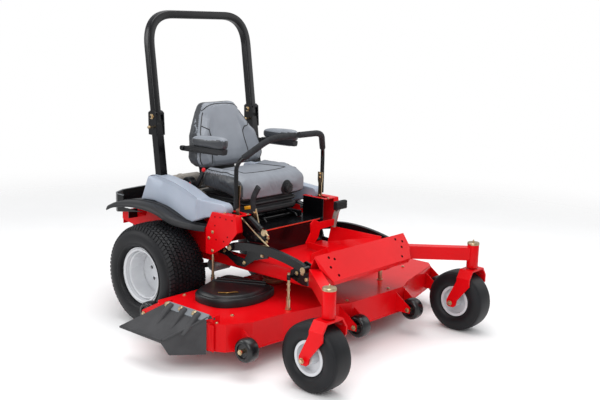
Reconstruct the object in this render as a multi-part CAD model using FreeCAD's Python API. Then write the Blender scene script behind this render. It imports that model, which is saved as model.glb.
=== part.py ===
"""Zero turn mower: a ride-on mower that steers by driving its two rear wheels at different speeds.

The design is drawn in millimetres about the point on the floor under the middle of the rear axle:
X is + to the driver's left, Y is + to the rear (the machine faces -Y) and Z is up. Every solid is
then moved by ORIGIN_SHIFT, which puts the origin on the floor under the middle of the outline.
Outlines seen from the side are written as (forward, height) points, where forward is -Y.
"""
import FreeCAD, Part
import math
import os

V = FreeCAD.Vector
SIDES = {"right": -1, "left": 1}

# ---- clearances ----------------------------------------------------------------------------------
RUNNING_GAP = 0.1
MOVING_GAP = 6.0
COVER_GAP = 3.0
SHEET = 5.0

# ---- tyres: the tread's crown, and the share of the width between the rim's lips -----------------
CROWN = 16.0
RIM_SHARE = 0.72

# ---- drive wheels --------------------------------------------------------------------------------
DRIVE_TYRE_OD = 610.0
DRIVE_TYRE_WIDTH = 300.0
DRIVE_RIM_OD = 336.0
DRIVE_BEAD_OD = 304.0
DRIVE_TRACK = 1084.0
DISC_SETBACK = 4.0
LUG_CIRCLE_R = 57.0
LUG_COUNT = 5
LUG_HOLE_R = 11.0
DRIVE_R = DRIVE_TYRE_OD / 2
DRIVE_OUTER_X = (DRIVE_TRACK + DRIVE_TYRE_WIDTH) / 2

# ---- casters -------------------------------------------------------------------------------------
CASTER_TYRE_OD = 360.0
CASTER_TYRE_WIDTH = 152.0
CASTER_RIM_OD = 182.0
CASTER_BEAD_OD = 160.0
CASTER_X = 659.0
CASTER_FORWARD = 1419.0
CASTER_TRAIL = 71.0
FORK_PLATE = 10.0
FORK_WIDTH = 84.0
FORK_CHAMFER = 34.0
FORK_TOP_GAP = 16.0
FORK_SIDE_GAP = 9.0
AXLE_BOLT_R = 9.5
BARREL_OD = 68.0
BARREL_HEIGHT = 146.0
PIVOT_SHAFT_R = 16.0
CASTER_R = CASTER_TYRE_OD / 2
FORK_HALF = CASTER_TYRE_WIDTH / 2 + FORK_SIDE_GAP
FORK_TOP_Z = CASTER_TYRE_OD + FORK_TOP_GAP + FORK_PLATE
BARREL_TOP_Z = FORK_TOP_Z + MOVING_GAP + BARREL_HEIGHT

# ---- frame ---------------------------------------------------------------------------------------
RAIL_X = 290.0
RAIL_WIDTH = 50.0
RAIL_HEIGHT = 76.0
FLOOR_Z = 452.0
RAIL_REAR = -540.0
RAIL_FRONT = 1075.0
CROSS_WIDTH = 50.0
BEAM_HALF = 398.0
BEAM_FOOT_HALF = 330.0
BEAM_PEAK = (1100.0, 585.0)
BEAM_LOW = (1192.0, 458.0)
ARM_WIDTH = 58.0
ARM_HEIGHT = 76.0
ARM_DROP = 24.0
ARM_ROOT = (385.0, 1090.0)
WALL_X = 352.0
CONSOLE_X = 450.0
CONSOLE_INNER_X = 322.0
CONSOLE_TOP_Z = 715.0
PANEL_FORWARD = 545.0
PANEL_TOP_Z = 602.0
ARM_TOP_Z = BARREL_TOP_Z - ARM_DROP
RAIL_BOTTOM_Z = FLOOR_Z - RAIL_HEIGHT

# ---- roll bar ------------------------------------------------------------------------------------
ROPS_X = 404.0
ROPS_TUBE = 50.0
ROPS_FOOT = (-92.0, 655.0)
ROPS_HINGE = (-167.0, 1208.0)
ROPS_TOP = (-249.0, 1832.0)
ROPS_BEND_R = 150.0
HINGE_PLATE = 8.0
HINGE_BOLT_R = 8.0

# ---- deck ----------------------------------------------------------------------------------------
DECK_X = 50.0
DECK_BOTTOM_Z = 112.0
DECK_DEPTH = 150.0
DECK_REAR = 325.0
BLADE_LENGTH = 610.0
BLADE_WIDTH = 64.0
BLADE_THICK = 6.0
BLADE_RISE = 42.0
BLADE_GAP = 8.0
SPINDLE_SPACING = 602.0
SPINDLE_R = 15.0
SIDE_SPINDLE = 643.0
MIDDLE_LEAD = 147.0
PULLEY_R = 70.0
ROLLER_R = 63.5
ROLLER_WIDTH = 74.0
ROLLER_Z = 150.0
ROLLER_BOLT_R = 8.0
REAR_ROLLER_FORWARD = 190.0
REAR_ROLLER_ASIDE = {"right": MOVING_GAP, "left": 58.0}
BELT_COVER_HEIGHT = 62.0
HANGER_X = 413.0
HANGER_REAR = 344.0
HANGER_LUG_R = 11.0
ROLLER_BOLT_HALF = ROLLER_WIDTH / 2 + MOVING_GAP + SHEET + 2
REAR_ROLLER_X = DRIVE_OUTER_X + ROLLER_BOLT_HALF
DECK_TOP_Z = DECK_BOTTOM_Z + DECK_DEPTH
DECK_RIGHT = DECK_X - SPINDLE_SPACING - BLADE_LENGTH / 2 - BLADE_GAP - SHEET
DECK_LEFT = DECK_X + SPINDLE_SPACING + BLADE_LENGTH / 2 + BLADE_GAP + SHEET
MIDDLE_SPINDLE = SIDE_SPINDLE + MIDDLE_LEAD
DECK_FRONT = MIDDLE_SPINDLE + BLADE_LENGTH / 2 + BLADE_GAP + SHEET
SPINDLES = {"right": (DECK_X - SPINDLE_SPACING, SIDE_SPINDLE), "middle": (DECK_X, MIDDLE_SPINDLE),
            "left": (DECK_X + SPINDLE_SPACING, SIDE_SPINDLE)}
ROLLERS = {"front_right": (DECK_RIGHT + 78, 1002), "middle_right": (DECK_X - 138, DECK_FRONT + 64),
           "middle_left": (DECK_X + 330, DECK_FRONT + 92), "front_left": (DECK_LEFT - 70, 1046),
           "rear_right": (-REAR_ROLLER_X - REAR_ROLLER_ASIDE["right"], REAR_ROLLER_FORWARD),
           "rear_left": (REAR_ROLLER_X + REAR_ROLLER_ASIDE["left"], REAR_ROLLER_FORWARD)}

# ---- deflector -----------------------------------------------------------------------------------
DEFLECTOR_HINGE = (DECK_RIGHT + 14.0, DECK_TOP_Z + 26.0)
DEFLECTOR_REACH = 196.0
DEFLECTOR_DROP = 130.0
DEFLECTOR_REAR = 300.0
DEFLECTOR_FRONT = 640.0
DEFLECTOR_ROOT = (470.0, 806.0)
DEFLECTOR_BOTTOM_Z = 92.0

# ---- seat and controls ---------------------------------------------------------------------------
CUSHION_HALF = 285.0
CUSHION_REAR = 66.0
CUSHION_FRONT = 448.0
CUSHION_TOP_Z = 930.0
CUSHION_BOTTOM_Z = 782.0
BACK_TOP_Z = 1288.0
BACK_HALF = 258.0
ARMREST_X = 304.0
ARMREST_WIDTH = 70.0
ARMREST_REAR = 46.0
ARMREST_FRONT = 340.0
ARMREST_Z = 1040.0
ARMREST_PIN_X = BACK_HALF + 11.0
LEVER_X = 374.0
LEVER_FORWARD = 488.0
LEVER_PIVOT_Z = 690.0
LEVER_BEND_Z = 1000.0
LEVER_GRIP_Z = 1138.0
LEVER_GRIP_FORWARD = 600.0
LEVER_GRIP_X = 222.0
LEVER_END_X = 18.0
LEVER_TUBE_R = 16.0

# ---- rear ----------------------------------------------------------------------------------------
ENGINE_SIZE = (400.0, 400.0, 262.0)
ENGINE_FRONT = -100.0
GUARD_HALF = 430.0
GUARD_REAR = -640.0
GUARD_TOP_Z = 690.0
GUARD_HEIGHT = 122.0
HITCH_HOLE_R = 10.0
HITCH_FORWARD = -585.0

TIP_X = DEFLECTOR_HINGE[0] - DEFLECTOR_REACH
OUTLINE_FRONT = CASTER_FORWARD - CASTER_TRAIL + CASTER_R
ORIGIN_SHIFT = V(-(DECK_LEFT + TIP_X) / 2, (OUTLINE_FRONT + GUARD_REAR) / 2, 0)
ARMREST_PIVOT = {name: (side * ARMREST_X, -28.0, ARMREST_Z - 14.0) for name, side in SIDES.items()}
SHAPES = {}


# ---- small tools ---------------------------------------------------------------------------------
def box(x0, x1, f0, f1, z0, z1):
    """A block between two corners, given as across, forward and up, in any order."""
    xs, ys, zs = sorted((x0, x1)), sorted((-f0, -f1)), sorted((z0, z1))
    return Part.makeBox(xs[1] - xs[0], ys[1] - ys[0], zs[1] - zs[0], V(xs[0], ys[0], zs[0]))


def rod(start, end, radius):
    """A round bar between two (across, forward, up) points."""
    a, b = V(start[0], -start[1], start[2]), V(end[0], -end[1], end[2])
    return Part.makeCylinder(radius, (b - a).Length, a, b - a)


def prism(points, along):
    """A flat outline of (across, forward, up) points, swept by such a vector."""
    corners = [V(x, -f, z) for x, f, z in points]
    face = Part.Face(Part.makePolygon(corners + [corners[0]]))
    return face.extrude(V(along[0], -along[1], along[2]))


def side_prism(outline, x0, x1):
    """An outline of (forward, up) points, from x0 to x1."""
    return prism([(x0, f, z) for f, z in outline], (x1 - x0, 0, 0))


def plan_prism(outline, z0, z1):
    """An outline of (across, forward) points, from z0 to z1."""
    return prism([(x, f, z0) for x, f in outline], (0, 0, z1 - z0))


def front_prism(outline, f0, f1):
    """An outline of (across, up) points, from f0 to f1."""
    return prism([(x, f0, z) for x, z in outline], (0, f1 - f0, 0))


def smooth_band(line, thickness, x0, x1):
    """A strip whose middle follows a smooth curve through (forward, up) points, from x0 to x1."""
    half = thickness / 2
    rows = []
    for rise in (half, -half):
        curve = Part.BSplineCurve()
        curve.interpolate([V(x0, -f, z + rise) for f, z in line])
        rows.append(curve.toShape())
    ends = [Part.LineSegment(rows[0].valueAt(t0), rows[1].valueAt(t1)).toShape()
            for t0, t1 in ((rows[0].FirstParameter, rows[1].FirstParameter),
                           (rows[0].LastParameter, rows[1].LastParameter))]
    wire = Part.Wire(Part.__sortEdges__(rows + ends))
    return Part.Face(wire).extrude(V(x1 - x0, 0, 0))


def ring(profile, centre):
    """A (distance along X, radius) outline turned about the X axis through a (across, forward, up) centre."""
    cx, cy, cz = centre[0], -centre[1], centre[2]
    wire = Part.makePolygon([V(cx + a, cy, cz + r) for a, r in profile + [profile[0]]])
    return Part.Face(wire).revolve(V(cx, cy, cz), V(1, 0, 0), 360)


def join(shapes):
    """One solid from touching ones."""
    return shapes[0].multiFuse(shapes[1:]).removeSplitter()


def bent_wire(points, radius):
    """A path of straight runs through (across, forward, up) points, each corner rounded to the radius."""
    pts = [V(x, -f, z) for x, f, z in points]
    edges, start = [], pts[0]
    for before, corner, after in zip(pts, pts[1:], pts[2:]):
        back, on = (before - corner).normalize(), (after - corner).normalize()
        half_turn = (math.pi - back.getAngle(on)) / 2
        shorter = min((before - corner).Length, (after - corner).Length)
        reach = min(radius * math.tan(half_turn), shorter * 0.48)
        bend = reach / math.tan(half_turn)
        first, last = corner + back * reach, corner + on * reach
        middle = corner + (back + on).normalize() * (bend / math.cos(half_turn) - bend)
        edges += [Part.LineSegment(start, first).toShape(), Part.Arc(first, middle, last).toShape()]
        start = last
    edges.append(Part.LineSegment(start, pts[-1]).toShape())
    return Part.Wire(edges)


def bent_bar(points, radius, section):
    """A bar along a bent path: section is a radius, or the (width across X, depth) of a square bar."""
    path = bent_wire(points, radius)
    start, second = V(points[0][0], -points[0][1], points[0][2]), V(points[1][0], -points[1][1], points[1][2])
    ahead = (second - start).normalize()
    if isinstance(section, tuple):
        across = V(1, 0, 0) if abs(ahead.x) < 0.9 else V(0, 1, 0)
        up = ahead.cross(across).normalize()
        w, h = section[0] / 2, section[1] / 2
        turns = ((1, 1), (-1, 1), (-1, -1), (1, -1), (1, 1))
        outline = Part.makePolygon([start + across * a * w + up * b * h for a, b in turns])
    else:
        outline = Part.Wire(Part.makeCircle(section, start, ahead))
    return path.makePipeShell([outline], True, False)


def rounded(shape, radius, pick):
    """Rounds the straight edges whose direction and middle point pick(direction, middle) accepts."""
    edges = []
    for edge in shape.Edges:
        if len(edge.Vertexes) == 2 and isinstance(edge.Curve, Part.Line):
            a, b = edge.Vertexes[0].Point, edge.Vertexes[1].Point
            if pick((b - a).normalize(), (a + b) / 2):
                edges.append(edge)
    return shape.makeFillet(radius, edges)


def mirrored(shape):
    """The same piece on the other side of the mid plane."""
    return shape.mirror(V(0, 0, 0), V(1, 0, 0))


def node(name, *shapes):
    """Keeps a named piece: one solid, or several that don't touch."""
    SHAPES[name] = Part.makeCompound([solid for shape in shapes for solid in shape.Solids])


# ---- wheels --------------------------------------------------------------------------------------
def tyre(centre, width, od, bead_od, rim_od):
    """A tyre: a gently crowned tread, round shoulders, and sides that swell past the rim's lips."""
    half, r, bead, lip = width / 2, od / 2, bead_od / 2, rim_od / 2 + 1
    wall = r - lip
    edge = [(RIM_SHARE, bead), (RIM_SHARE, lip), (0.86, lip + wall * 0.04), (1.0, lip + wall * 0.34),
            (0.985, lip + wall * 0.64), (0.90, r - CROWN * 1.7), (0.74, r - CROWN * 0.7),
            (0.4, r - CROWN * 0.12)]
    outline = [(-half * a, z) for a, z in edge] + [(0, r)] + [(half * a, z) for a, z in reversed(edge)]
    return ring(outline, centre)


def drive_wheels():
    bead, lip = DRIVE_BEAD_OD / 2, DRIVE_RIM_OD / 2
    half = DRIVE_TYRE_WIDTH / 2 * RIM_SHARE
    for name, side in SIDES.items():
        x = side * DRIVE_TRACK / 2
        centre = (x, 0, DRIVE_R)
        node(f"drive_tyre_{name}", tyre(centre, DRIVE_TYRE_WIDTH, DRIVE_TYRE_OD, DRIVE_BEAD_OD, DRIVE_RIM_OD))
        well = [(-half - SHEET * 2, bead - SHEET), (-half - SHEET * 2, lip), (-half, lip), (-half, bead),
                (half, bead), (half, lip), (half + SHEET * 2, lip), (half + SHEET * 2, bead - SHEET)]
        face = x - side * DISC_SETBACK
        disc = rod((face, 0, DRIVE_R), (face - side * SHEET * 1.6, 0, DRIVE_R), bead - SHEET / 2)
        for k in range(LUG_COUNT):
            turn = math.radians(90 + 360 / LUG_COUNT * k)
            f, z = LUG_CIRCLE_R * math.cos(turn), DRIVE_R + LUG_CIRCLE_R * math.sin(turn)
            disc = disc.cut(rod((face + 20, f, z), (face - 20, f, z), LUG_HOLE_R))
        hub = rod((face + side * 14, 0, DRIVE_R), (face - side * 42, 0, DRIVE_R), 34)
        node(f"drive_rim_{name}", join([ring(well, centre), disc, hub]))
        inner = face - side * (42 + MOVING_GAP)
        motor = rod((inner, 0, DRIVE_R), (side * (RAIL_X + 40), 0, DRIVE_R), 72)
        plate = box(side * (RAIL_X + 40), side * (RAIL_X + RAIL_WIDTH / 2), -100, 100, DRIVE_R - 90,
                    RAIL_BOTTOM_Z + 40)
        SHAPES[f"motor_{name}"] = join([motor, plate])
    node("wheel_motors", SHAPES.pop("motor_right"), SHAPES.pop("motor_left"))


def casters():
    for name, side in SIDES.items():
        x, f = side * CASTER_X, CASTER_FORWARD
        axle_f = f - CASTER_TRAIL
        centre = (x, axle_f, CASTER_R)
        node(f"caster_tyre_{name}",
             tyre(centre, CASTER_TYRE_WIDTH, CASTER_TYRE_OD, CASTER_BEAD_OD, CASTER_RIM_OD))
        bead, lip, half = CASTER_BEAD_OD / 2, CASTER_RIM_OD / 2, CASTER_TYRE_WIDTH / 2 * RIM_SHARE
        bore = AXLE_BOLT_R + RUNNING_GAP
        dish = [(half + SHEET, bead - SHEET), (half + SHEET, lip), (half, lip), (half, bead)]
        hub = [(24, bead - SHEET), (18, 34), (62, 30), (62, bore)]
        inboard = [(-a, r) for a, r in reversed(dish)]
        profile = inboard + [(-a, r) for a, r in hub] + list(reversed(hub)) + dish
        node(f"caster_rim_{name}", ring(profile, centre))
        outer, top = FORK_HALF + FORK_PLATE, FORK_TOP_Z
        low = CASTER_R - 27
        front = [(outer, low), (outer, top - FORK_CHAMFER - 14), (outer - FORK_CHAMFER, top),
                 (-outer + FORK_CHAMFER, top), (-outer, top - FORK_CHAMFER - 14), (-outer, low),
                 (-FORK_HALF, low), (-FORK_HALF, top - FORK_CHAMFER - 18),
                 (-outer + FORK_CHAMFER + 5, top - FORK_PLATE), (outer - FORK_CHAMFER - 5, top - FORK_PLATE),
                 (FORK_HALF, top - FORK_CHAMFER - 18), (FORK_HALF, low)]
        bent = front_prism([(x + a, z) for a, z in front], f + 100, f - 200)
        half_w = FORK_WIDTH / 2
        leg = [(f + half_w, top), (f - half_w, top), (f - half_w, top - 70), (axle_f - 32, CASTER_R + 12),
               (axle_f - 28, low + 10), (axle_f - 16, low), (axle_f + 16, low), (axle_f + 30, low + 12),
               (axle_f + 34, CASTER_R + 14), (f + half_w, top - 92)]
        fork = bent.common(side_prism(leg, x - 200, x + 200))
        axle = rod((x - outer - 14, axle_f, CASTER_R), (x + outer + 14, axle_f, CASTER_R), AXLE_BOLT_R)
        shaft = rod((x, f, top - 2), (x, f, BARREL_TOP_Z - 14), PIVOT_SHAFT_R)
        node(f"caster_fork_{name}", join([fork, axle, shaft]))
        barrel = rod((x, f, top + MOVING_GAP), (x, f, BARREL_TOP_Z), BARREL_OD / 2)
        root, tip = V(side * ARM_ROOT[0], ARM_ROOT[1], 0), V(x, f, 0)
        ahead = (tip - root).normalize()
        across = V(-ahead.y, ahead.x, 0) * (ARM_WIDTH / 2)
        tip = tip - ahead * (PIVOT_SHAFT_R + 6)
        corners = [root + across, tip + across, tip - across, root - across]
        arm = plan_prism([(c.x, c.y) for c in corners], ARM_TOP_Z - ARM_HEIGHT, ARM_TOP_Z)
        hole = rod((x, f, top - 20), (x, f, BARREL_TOP_Z - 10), PIVOT_SHAFT_R + RUNNING_GAP)
        node(f"caster_arm_{name}", join([barrel, arm]).cut(hole))


# ---- frame ---------------------------------------------------------------------------------------
def frame():
    half = RAIL_WIDTH / 2
    rails = [box(s * (RAIL_X - half), s * (RAIL_X + half), RAIL_REAR, RAIL_FRONT, RAIL_BOTTOM_Z, FLOOR_Z)
             for s in SIDES.values()]
    node("frame_rails", *rails)
    inner = RAIL_X - half
    members = [box(-inner, inner, f, f + CROSS_WIDTH, RAIL_BOTTOM_Z + 8, FLOOR_Z - 8)
               for f in (RAIL_REAR + 30, -60, PANEL_FORWARD - 100, RAIL_FRONT - CROSS_WIDTH)]
    members += [box(s * (RAIL_X + half), s * WALL_X, f, f + CROSS_WIDTH, FLOOR_Z - 20, FLOOR_Z - 4)
                for s in SIDES.values() for f in (-220, 200)]
    tube = box(-ARM_ROOT[0], ARM_ROOT[0], RAIL_FRONT, RAIL_FRONT + 60, FLOOR_Z - 6, FLOOR_Z + 54)
    for name in SIDES:
        tube = tube.cut(SHAPES[f"caster_arm_{name}"])
    node("cross_members", tube, *members)
    # the folded beam across the front: a sloped face with a return behind its top edge
    f1, z1 = BEAM_PEAK
    f2, z2 = BEAM_LOW
    outline = [(RAIL_FRONT - 30, FLOOR_Z + SHEET), (f1, z1), (f2, z2), (f2 - 4, z2 - 22), (f2 - 10, z2 - 22),
               (f2 - 7, z2 - 1), (f1 - 2, z1 - SHEET * 2), (RAIL_FRONT - 24, FLOOR_Z + SHEET)]
    taper = [(BEAM_HALF, z1 + 5), (BEAM_HALF, z1 - 62), (BEAM_FOOT_HALF, z2 - 30), (-BEAM_FOOT_HALF, z2 - 30),
             (-BEAM_HALF, z1 - 62), (-BEAM_HALF, z1 + 5)]
    beam = side_prism(outline, -BEAM_HALF, BEAM_HALF).common(front_prism(taper, RAIL_FRONT - 200, f2 + 50))
    for name in SIDES:
        beam = beam.cut(SHAPES[f"caster_arm_{name}"])
    node("front_beam", beam)
    # upright plates beside the drive wheels, with the rear cross plate that carries the hitch
    wall = [(-565, 566), (-565, 512), (-545, 505), (-330, 470), (-250, 430), (328, 430), (328, 640),
            (150, 650), (-300, 650), (-330, 566)]
    walls = [side_prism(wall, s * WALL_X, s * (WALL_X + SHEET)) for s in SIDES.values()]
    rear = box(-WALL_X, WALL_X, -565, -560, 480, 566)
    tongue = box(-60, 60, -565, HITCH_FORWARD - 28, 480, 488)
    tongue = tongue.cut(rod((0, HITCH_FORWARD, 470), (0, HITCH_FORWARD, 500), HITCH_HOLE_R))
    node("side_walls", join(walls + [rear, tongue]))


def consoles():
    """Red sheet boxes beside the driver's legs: an outer plate, a top and a front flange."""
    outline = [(322, 614), (372, CONSOLE_TOP_Z), (562, CONSOLE_TOP_Z), (576, 625), (507, 547), (430, 500),
               (371, 465), (322, 465)]
    made = []
    for side in SIDES.values():
        x, inner = side * CONSOLE_X, side * (CONSOLE_INNER_X + SHEET)
        plate = side_prism(outline, x, x - side * SHEET)
        top = box(x, inner, 372, 562, CONSOLE_TOP_Z - SHEET, CONSOLE_TOP_Z)
        slot = box(side * (LEVER_X - 26), side * (LEVER_X + 26), LEVER_FORWARD - 62, LEVER_FORWARD + 48,
                   CONSOLE_TOP_Z - 20, CONSOLE_TOP_Z + 20)
        flange = prism([(x, 556, CONSOLE_TOP_Z), (x, 562, CONSOLE_TOP_Z), (x, 576, 625), (x, 570, 625)],
                       (-side * 46, 0, 0))
        web = box(x, side * (WALL_X + SHEET), 322, 328, 465, 614)
        made.append(join([plate, top, flange, web]).cut(slot))
    node("side_consoles", *made)
    # black sheet across the front of the seat's platform, with a return on each side
    half = CONSOLE_INNER_X
    front = box(-half, half, PANEL_FORWARD, PANEL_FORWARD + SHEET, FLOOR_Z + SHEET, PANEL_TOP_Z)
    floor = box(-half, half, 0, PANEL_FORWARD, PANEL_TOP_Z - SHEET, PANEL_TOP_Z)
    returns = [box(s * half, s * (half - SHEET), 385, PANEL_FORWARD + SHEET, PANEL_TOP_Z - SHEET,
                   CONSOLE_TOP_Z) for s in SIDES.values()]
    node("console_panel", join([front, floor] + returns))
    pan = box(-RAIL_X - RAIL_WIDTH / 2, RAIL_X + RAIL_WIDTH / 2, PANEL_FORWARD, RAIL_FRONT - 30, FLOOR_Z,
              FLOOR_Z + SHEET)
    edge = RAIL_X + RAIL_WIDTH / 2
    lip = prism([(edge - SHEET, 600, FLOOR_Z), (edge, 600, FLOOR_Z), (edge + 30, 600, FLOOR_Z + 100),
                 (edge + 25, 600, FLOOR_Z + 100)], (0, RAIL_FRONT - 690, 0))
    node("floor_pan", join([pan, lip]))


# ---- roll bar ------------------------------------------------------------------------------------
def rops():
    half = ROPS_TUBE / 2
    f0, z0 = ROPS_FOOT
    f1, z1 = ROPS_HINGE
    f2, z2 = ROPS_TOP[0], ROPS_TOP[1] - half
    posts = []
    for side in SIDES.values():
        x = side * ROPS_X
        stop = z1 - 46
        lean = (f1 - f0) / (z1 - z0)
        f_stop = f0 + lean * (stop - z0)
        post = side_prism([(f0 - half, z0), (f0 + half, z0), (f_stop + half, stop), (f_stop - half, stop)],
                          x - half, x + half)
        ear = [(f1 + 42, z1 - 110), (f1 + 34, z1 + 22), (f1 + 16, z1 + 34), (f1 - 16, z1 + 34),
               (f1 - 34, z1 + 22), (f1 - 30, z1 - 110)]
        ears = [side_prism(ear, x + s * half, x + s * (half + HINGE_PLATE)) for s in (-1, 1)]
        bolt = rod((x - half - 24, f1, z1), (x + half + 24, f1, z1), HINGE_BOLT_R)
        foot = box(side * (WALL_X + SHEET), x + side * half, f0 - 60, f0 + 60, z0 - 12, z0)
        posts.append(join([post, foot, bolt] + ears))
    node("rops_posts", *posts)
    lean = (f2 - f1) / (z2 - z1)
    low = z1 - 30
    f_low = f1 + lean * (low - z1)
    points = [(-ROPS_X, f_low, low), (-ROPS_X, f2, z2), (ROPS_X, f2, z2), (ROPS_X, f_low, low)]
    hoop = bent_bar(points, ROPS_BEND_R, (ROPS_TUBE - 1, ROPS_TUBE - 1))
    hole = rod((-ROPS_X - 90, f1, z1), (ROPS_X + 90, f1, z1), HINGE_BOLT_R + RUNNING_GAP)
    node("rops_hoop", hoop.cut(hole))


# ---- deck ----------------------------------------------------------------------------------------
def deck_outline(inset):
    """The deck in plan: two side chambers and a middle one that stands further forward."""
    r, l, front, rear = DECK_RIGHT + inset, DECK_LEFT - inset, DECK_FRONT - inset, DECK_REAR + inset
    side = SIDE_SPINDLE + BLADE_LENGTH / 2
    return [(l, rear + 70), (l - 70, rear), (r + 66, rear), (r, rear + 72), (r, side - 148),
            (r + 44, side - 66), (DECK_X - 750, side + 2 - inset), (DECK_X - 536, side + 20 - inset),
            (DECK_X - 276, side + 80 - inset), (DECK_X - 112, front - 8), (DECK_X + 30, front),
            (DECK_X + 350, front + 10), (DECK_X + 470, front - 42),
            (DECK_X + 630, side + 76 - inset), (l - 42, side + 10 - inset), (l, side - 32)]


def deck():
    outer = plan_prism(deck_outline(0), DECK_BOTTOM_Z, DECK_TOP_Z)
    inner = plan_prism(deck_outline(SHEET), DECK_BOTTOM_Z - 1, DECK_TOP_Z - SHEET)
    mouth = box(DECK_RIGHT - 5, DECK_RIGHT + 60, 400, 744, DECK_BOTTOM_Z - 1, DECK_TOP_Z - SHEET)
    shell = outer.cut(inner).cut(mouth)
    for x, f in SPINDLES.values():
        shell = shell.cut(rod((x, f, DECK_TOP_Z - 30), (x, f, DECK_TOP_Z + 30), SPINDLE_R + RUNNING_GAP))
    brackets = []
    for name, (x, f) in ROLLERS.items():
        bolt = rod((x - ROLLER_BOLT_HALF, f, ROLLER_Z), (x + ROLLER_BOLT_HALF, f, ROLLER_Z), ROLLER_BOLT_R)
        reach = 150 if name.startswith("rear") else -110
        # the roller beside the chute hangs from its inner plate alone, clear of the chute's corner
        for s in (1,) if name == "front_right" else (-1, 1):
            x0 = x + s * (ROLLER_WIDTH / 2 + MOVING_GAP)
            tip = f - math.copysign(16, reach)
            outline = [(tip, ROLLER_Z + 18), (tip, ROLLER_Z - 18), (f + reach, ROLLER_Z - 22),
                       (f + reach, DECK_TOP_Z - SHEET)]
            brackets.append(side_prism(outline, x0, x0 + s * SHEET).cut(inner))
        brackets.append(bolt)
    hinge_x, hinge_z = DEFLECTOR_HINGE
    ears = [box(hinge_x - 6, hinge_x + 40, f, f + 10, DECK_TOP_Z - 2, hinge_z + 10)
            .cut(rod((hinge_x, f - 5, hinge_z), (hinge_x, f + 15, hinge_z), 6 + RUNNING_GAP))
            for f in (DEFLECTOR_ROOT[0] - 22, DEFLECTOR_ROOT[1] + 12)]
    node("deck_shell", join([shell] + brackets + ears))


def blades():
    z = DECK_BOTTOM_Z + BLADE_RISE
    for name, (x, f) in SPINDLES.items():
        reach = BLADE_LENGTH / 2
        bar = box(x - reach, x + reach, f - BLADE_WIDTH / 2, f + BLADE_WIDTH / 2, z, z + BLADE_THICK)
        bar = bar.common(rod((x, f, z - 1), (x, f, z + BLADE_THICK + 1), reach))
        shaft = rod((x, f, z - 14), (x, f, DECK_TOP_Z + 44), SPINDLE_R)
        housing = rod((x, f, z + BLADE_THICK), (x, f, DECK_TOP_Z - SHEET - MOVING_GAP), 42)
        pulley = rod((x, f, DECK_TOP_Z + 16), (x, f, DECK_TOP_Z + 40), PULLEY_R)
        node(f"blade_{name}", join([bar, shaft, housing, pulley]))


def rollers():
    for name, (x, f) in ROLLERS.items():
        half, r = ROLLER_WIDTH / 2, ROLLER_R
        bore = ROLLER_BOLT_R + RUNNING_GAP
        outline = [(-half, bore), (-half, r - 14), (-half * 0.7, r - 3), (0, r), (half * 0.7, r - 3),
                   (half, r - 14), (half, bore)]
        node(f"roller_{name}", ring(outline, (x, f, ROLLER_Z)))


def belt_covers():
    """Moulded covers over the outer spindles, open below around the pulleys."""
    made = []
    for side in SIDES.values():
        x = SPINDLES["right" if side < 0 else "left"][0]
        outline = [(x + side * 130, 560), (x + side * 96, 462), (x - side * 40, 390), (x - side * 236, 330),
                   (x - side * 262, 620), (x - side * 196, 736), (x + side * 70, 752), (x + side * 130, 690)]
        cover = plan_prism(outline, DECK_TOP_Z, DECK_TOP_Z + BELT_COVER_HEIGHT)
        room = rod((x, SIDE_SPINDLE, DECK_TOP_Z - 1), (x, SIDE_SPINDLE, DECK_TOP_Z + 52),
                   PULLEY_R + MOVING_GAP)
        tunnel = box(x, x - side * 300, SIDE_SPINDLE - 60, SIDE_SPINDLE + 60, DECK_TOP_Z - 1, DECK_TOP_Z + 46)
        cover = rounded(cover, 8, lambda d, m: abs(d.z) < 0.1 and m.z > DECK_TOP_Z + BELT_COVER_HEIGHT - 1)
        lug_x = side * HANGER_X
        notch = rod((lug_x, HANGER_REAR, DECK_TOP_Z - 1), (lug_x, HANGER_REAR, DECK_TOP_Z + 80),
                    HANGER_LUG_R + COVER_GAP)
        made.append(cover.cut(room).cut(tunnel).cut(notch))
    node("belt_covers", *made)


def deflector():
    """The moulded chute: a sloping top with a wall along its front edge, hinged at the deck's edge."""
    x0, z0 = DEFLECTOR_HINGE
    x1, z1 = x0 - DEFLECTOR_REACH, z0 - DEFLECTOR_DROP
    root0, root1 = DEFLECTOR_ROOT
    top = [(x0 - 8, z0 + 8), (x0 - 8, z0), (x1, z1), (x1, z1 + 8)]
    plan = [(x0 - 8, root0), (x1, DEFLECTOR_REAR), (x1, DEFLECTOR_FRONT), (x0 - 8, root1)]
    skin = front_prism(top, DEFLECTOR_REAR - 10, root1 + 10).common(plan_prism(plan, 0, 500))
    low = DEFLECTOR_BOTTOM_Z
    slant = (root1 - DEFLECTOR_FRONT) / (x0 - 8 - x1)
    fall = DEFLECTOR_DROP / (x0 - 8 - x1)
    near = root1 - 14 * slant
    wall = prism([(x1, DEFLECTOR_FRONT, z1 + 7), (x1 + 34, DEFLECTOR_FRONT + 34 * slant, low),
                  (x0 - 22, near, low), (x0 - 22, near, z0 - 14 * fall + 4)], (0, -8, 0))
    hinge = box(x0 - 14, x0 + 6, root0 + 4, root1 - 4, z0 - 6, z0 + 8)
    pin = rod((x0, root0 - 24, z0), (x0, root1 + 24, z0), 6)
    node("deflector", join([skin, wall, hinge, pin]))


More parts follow.
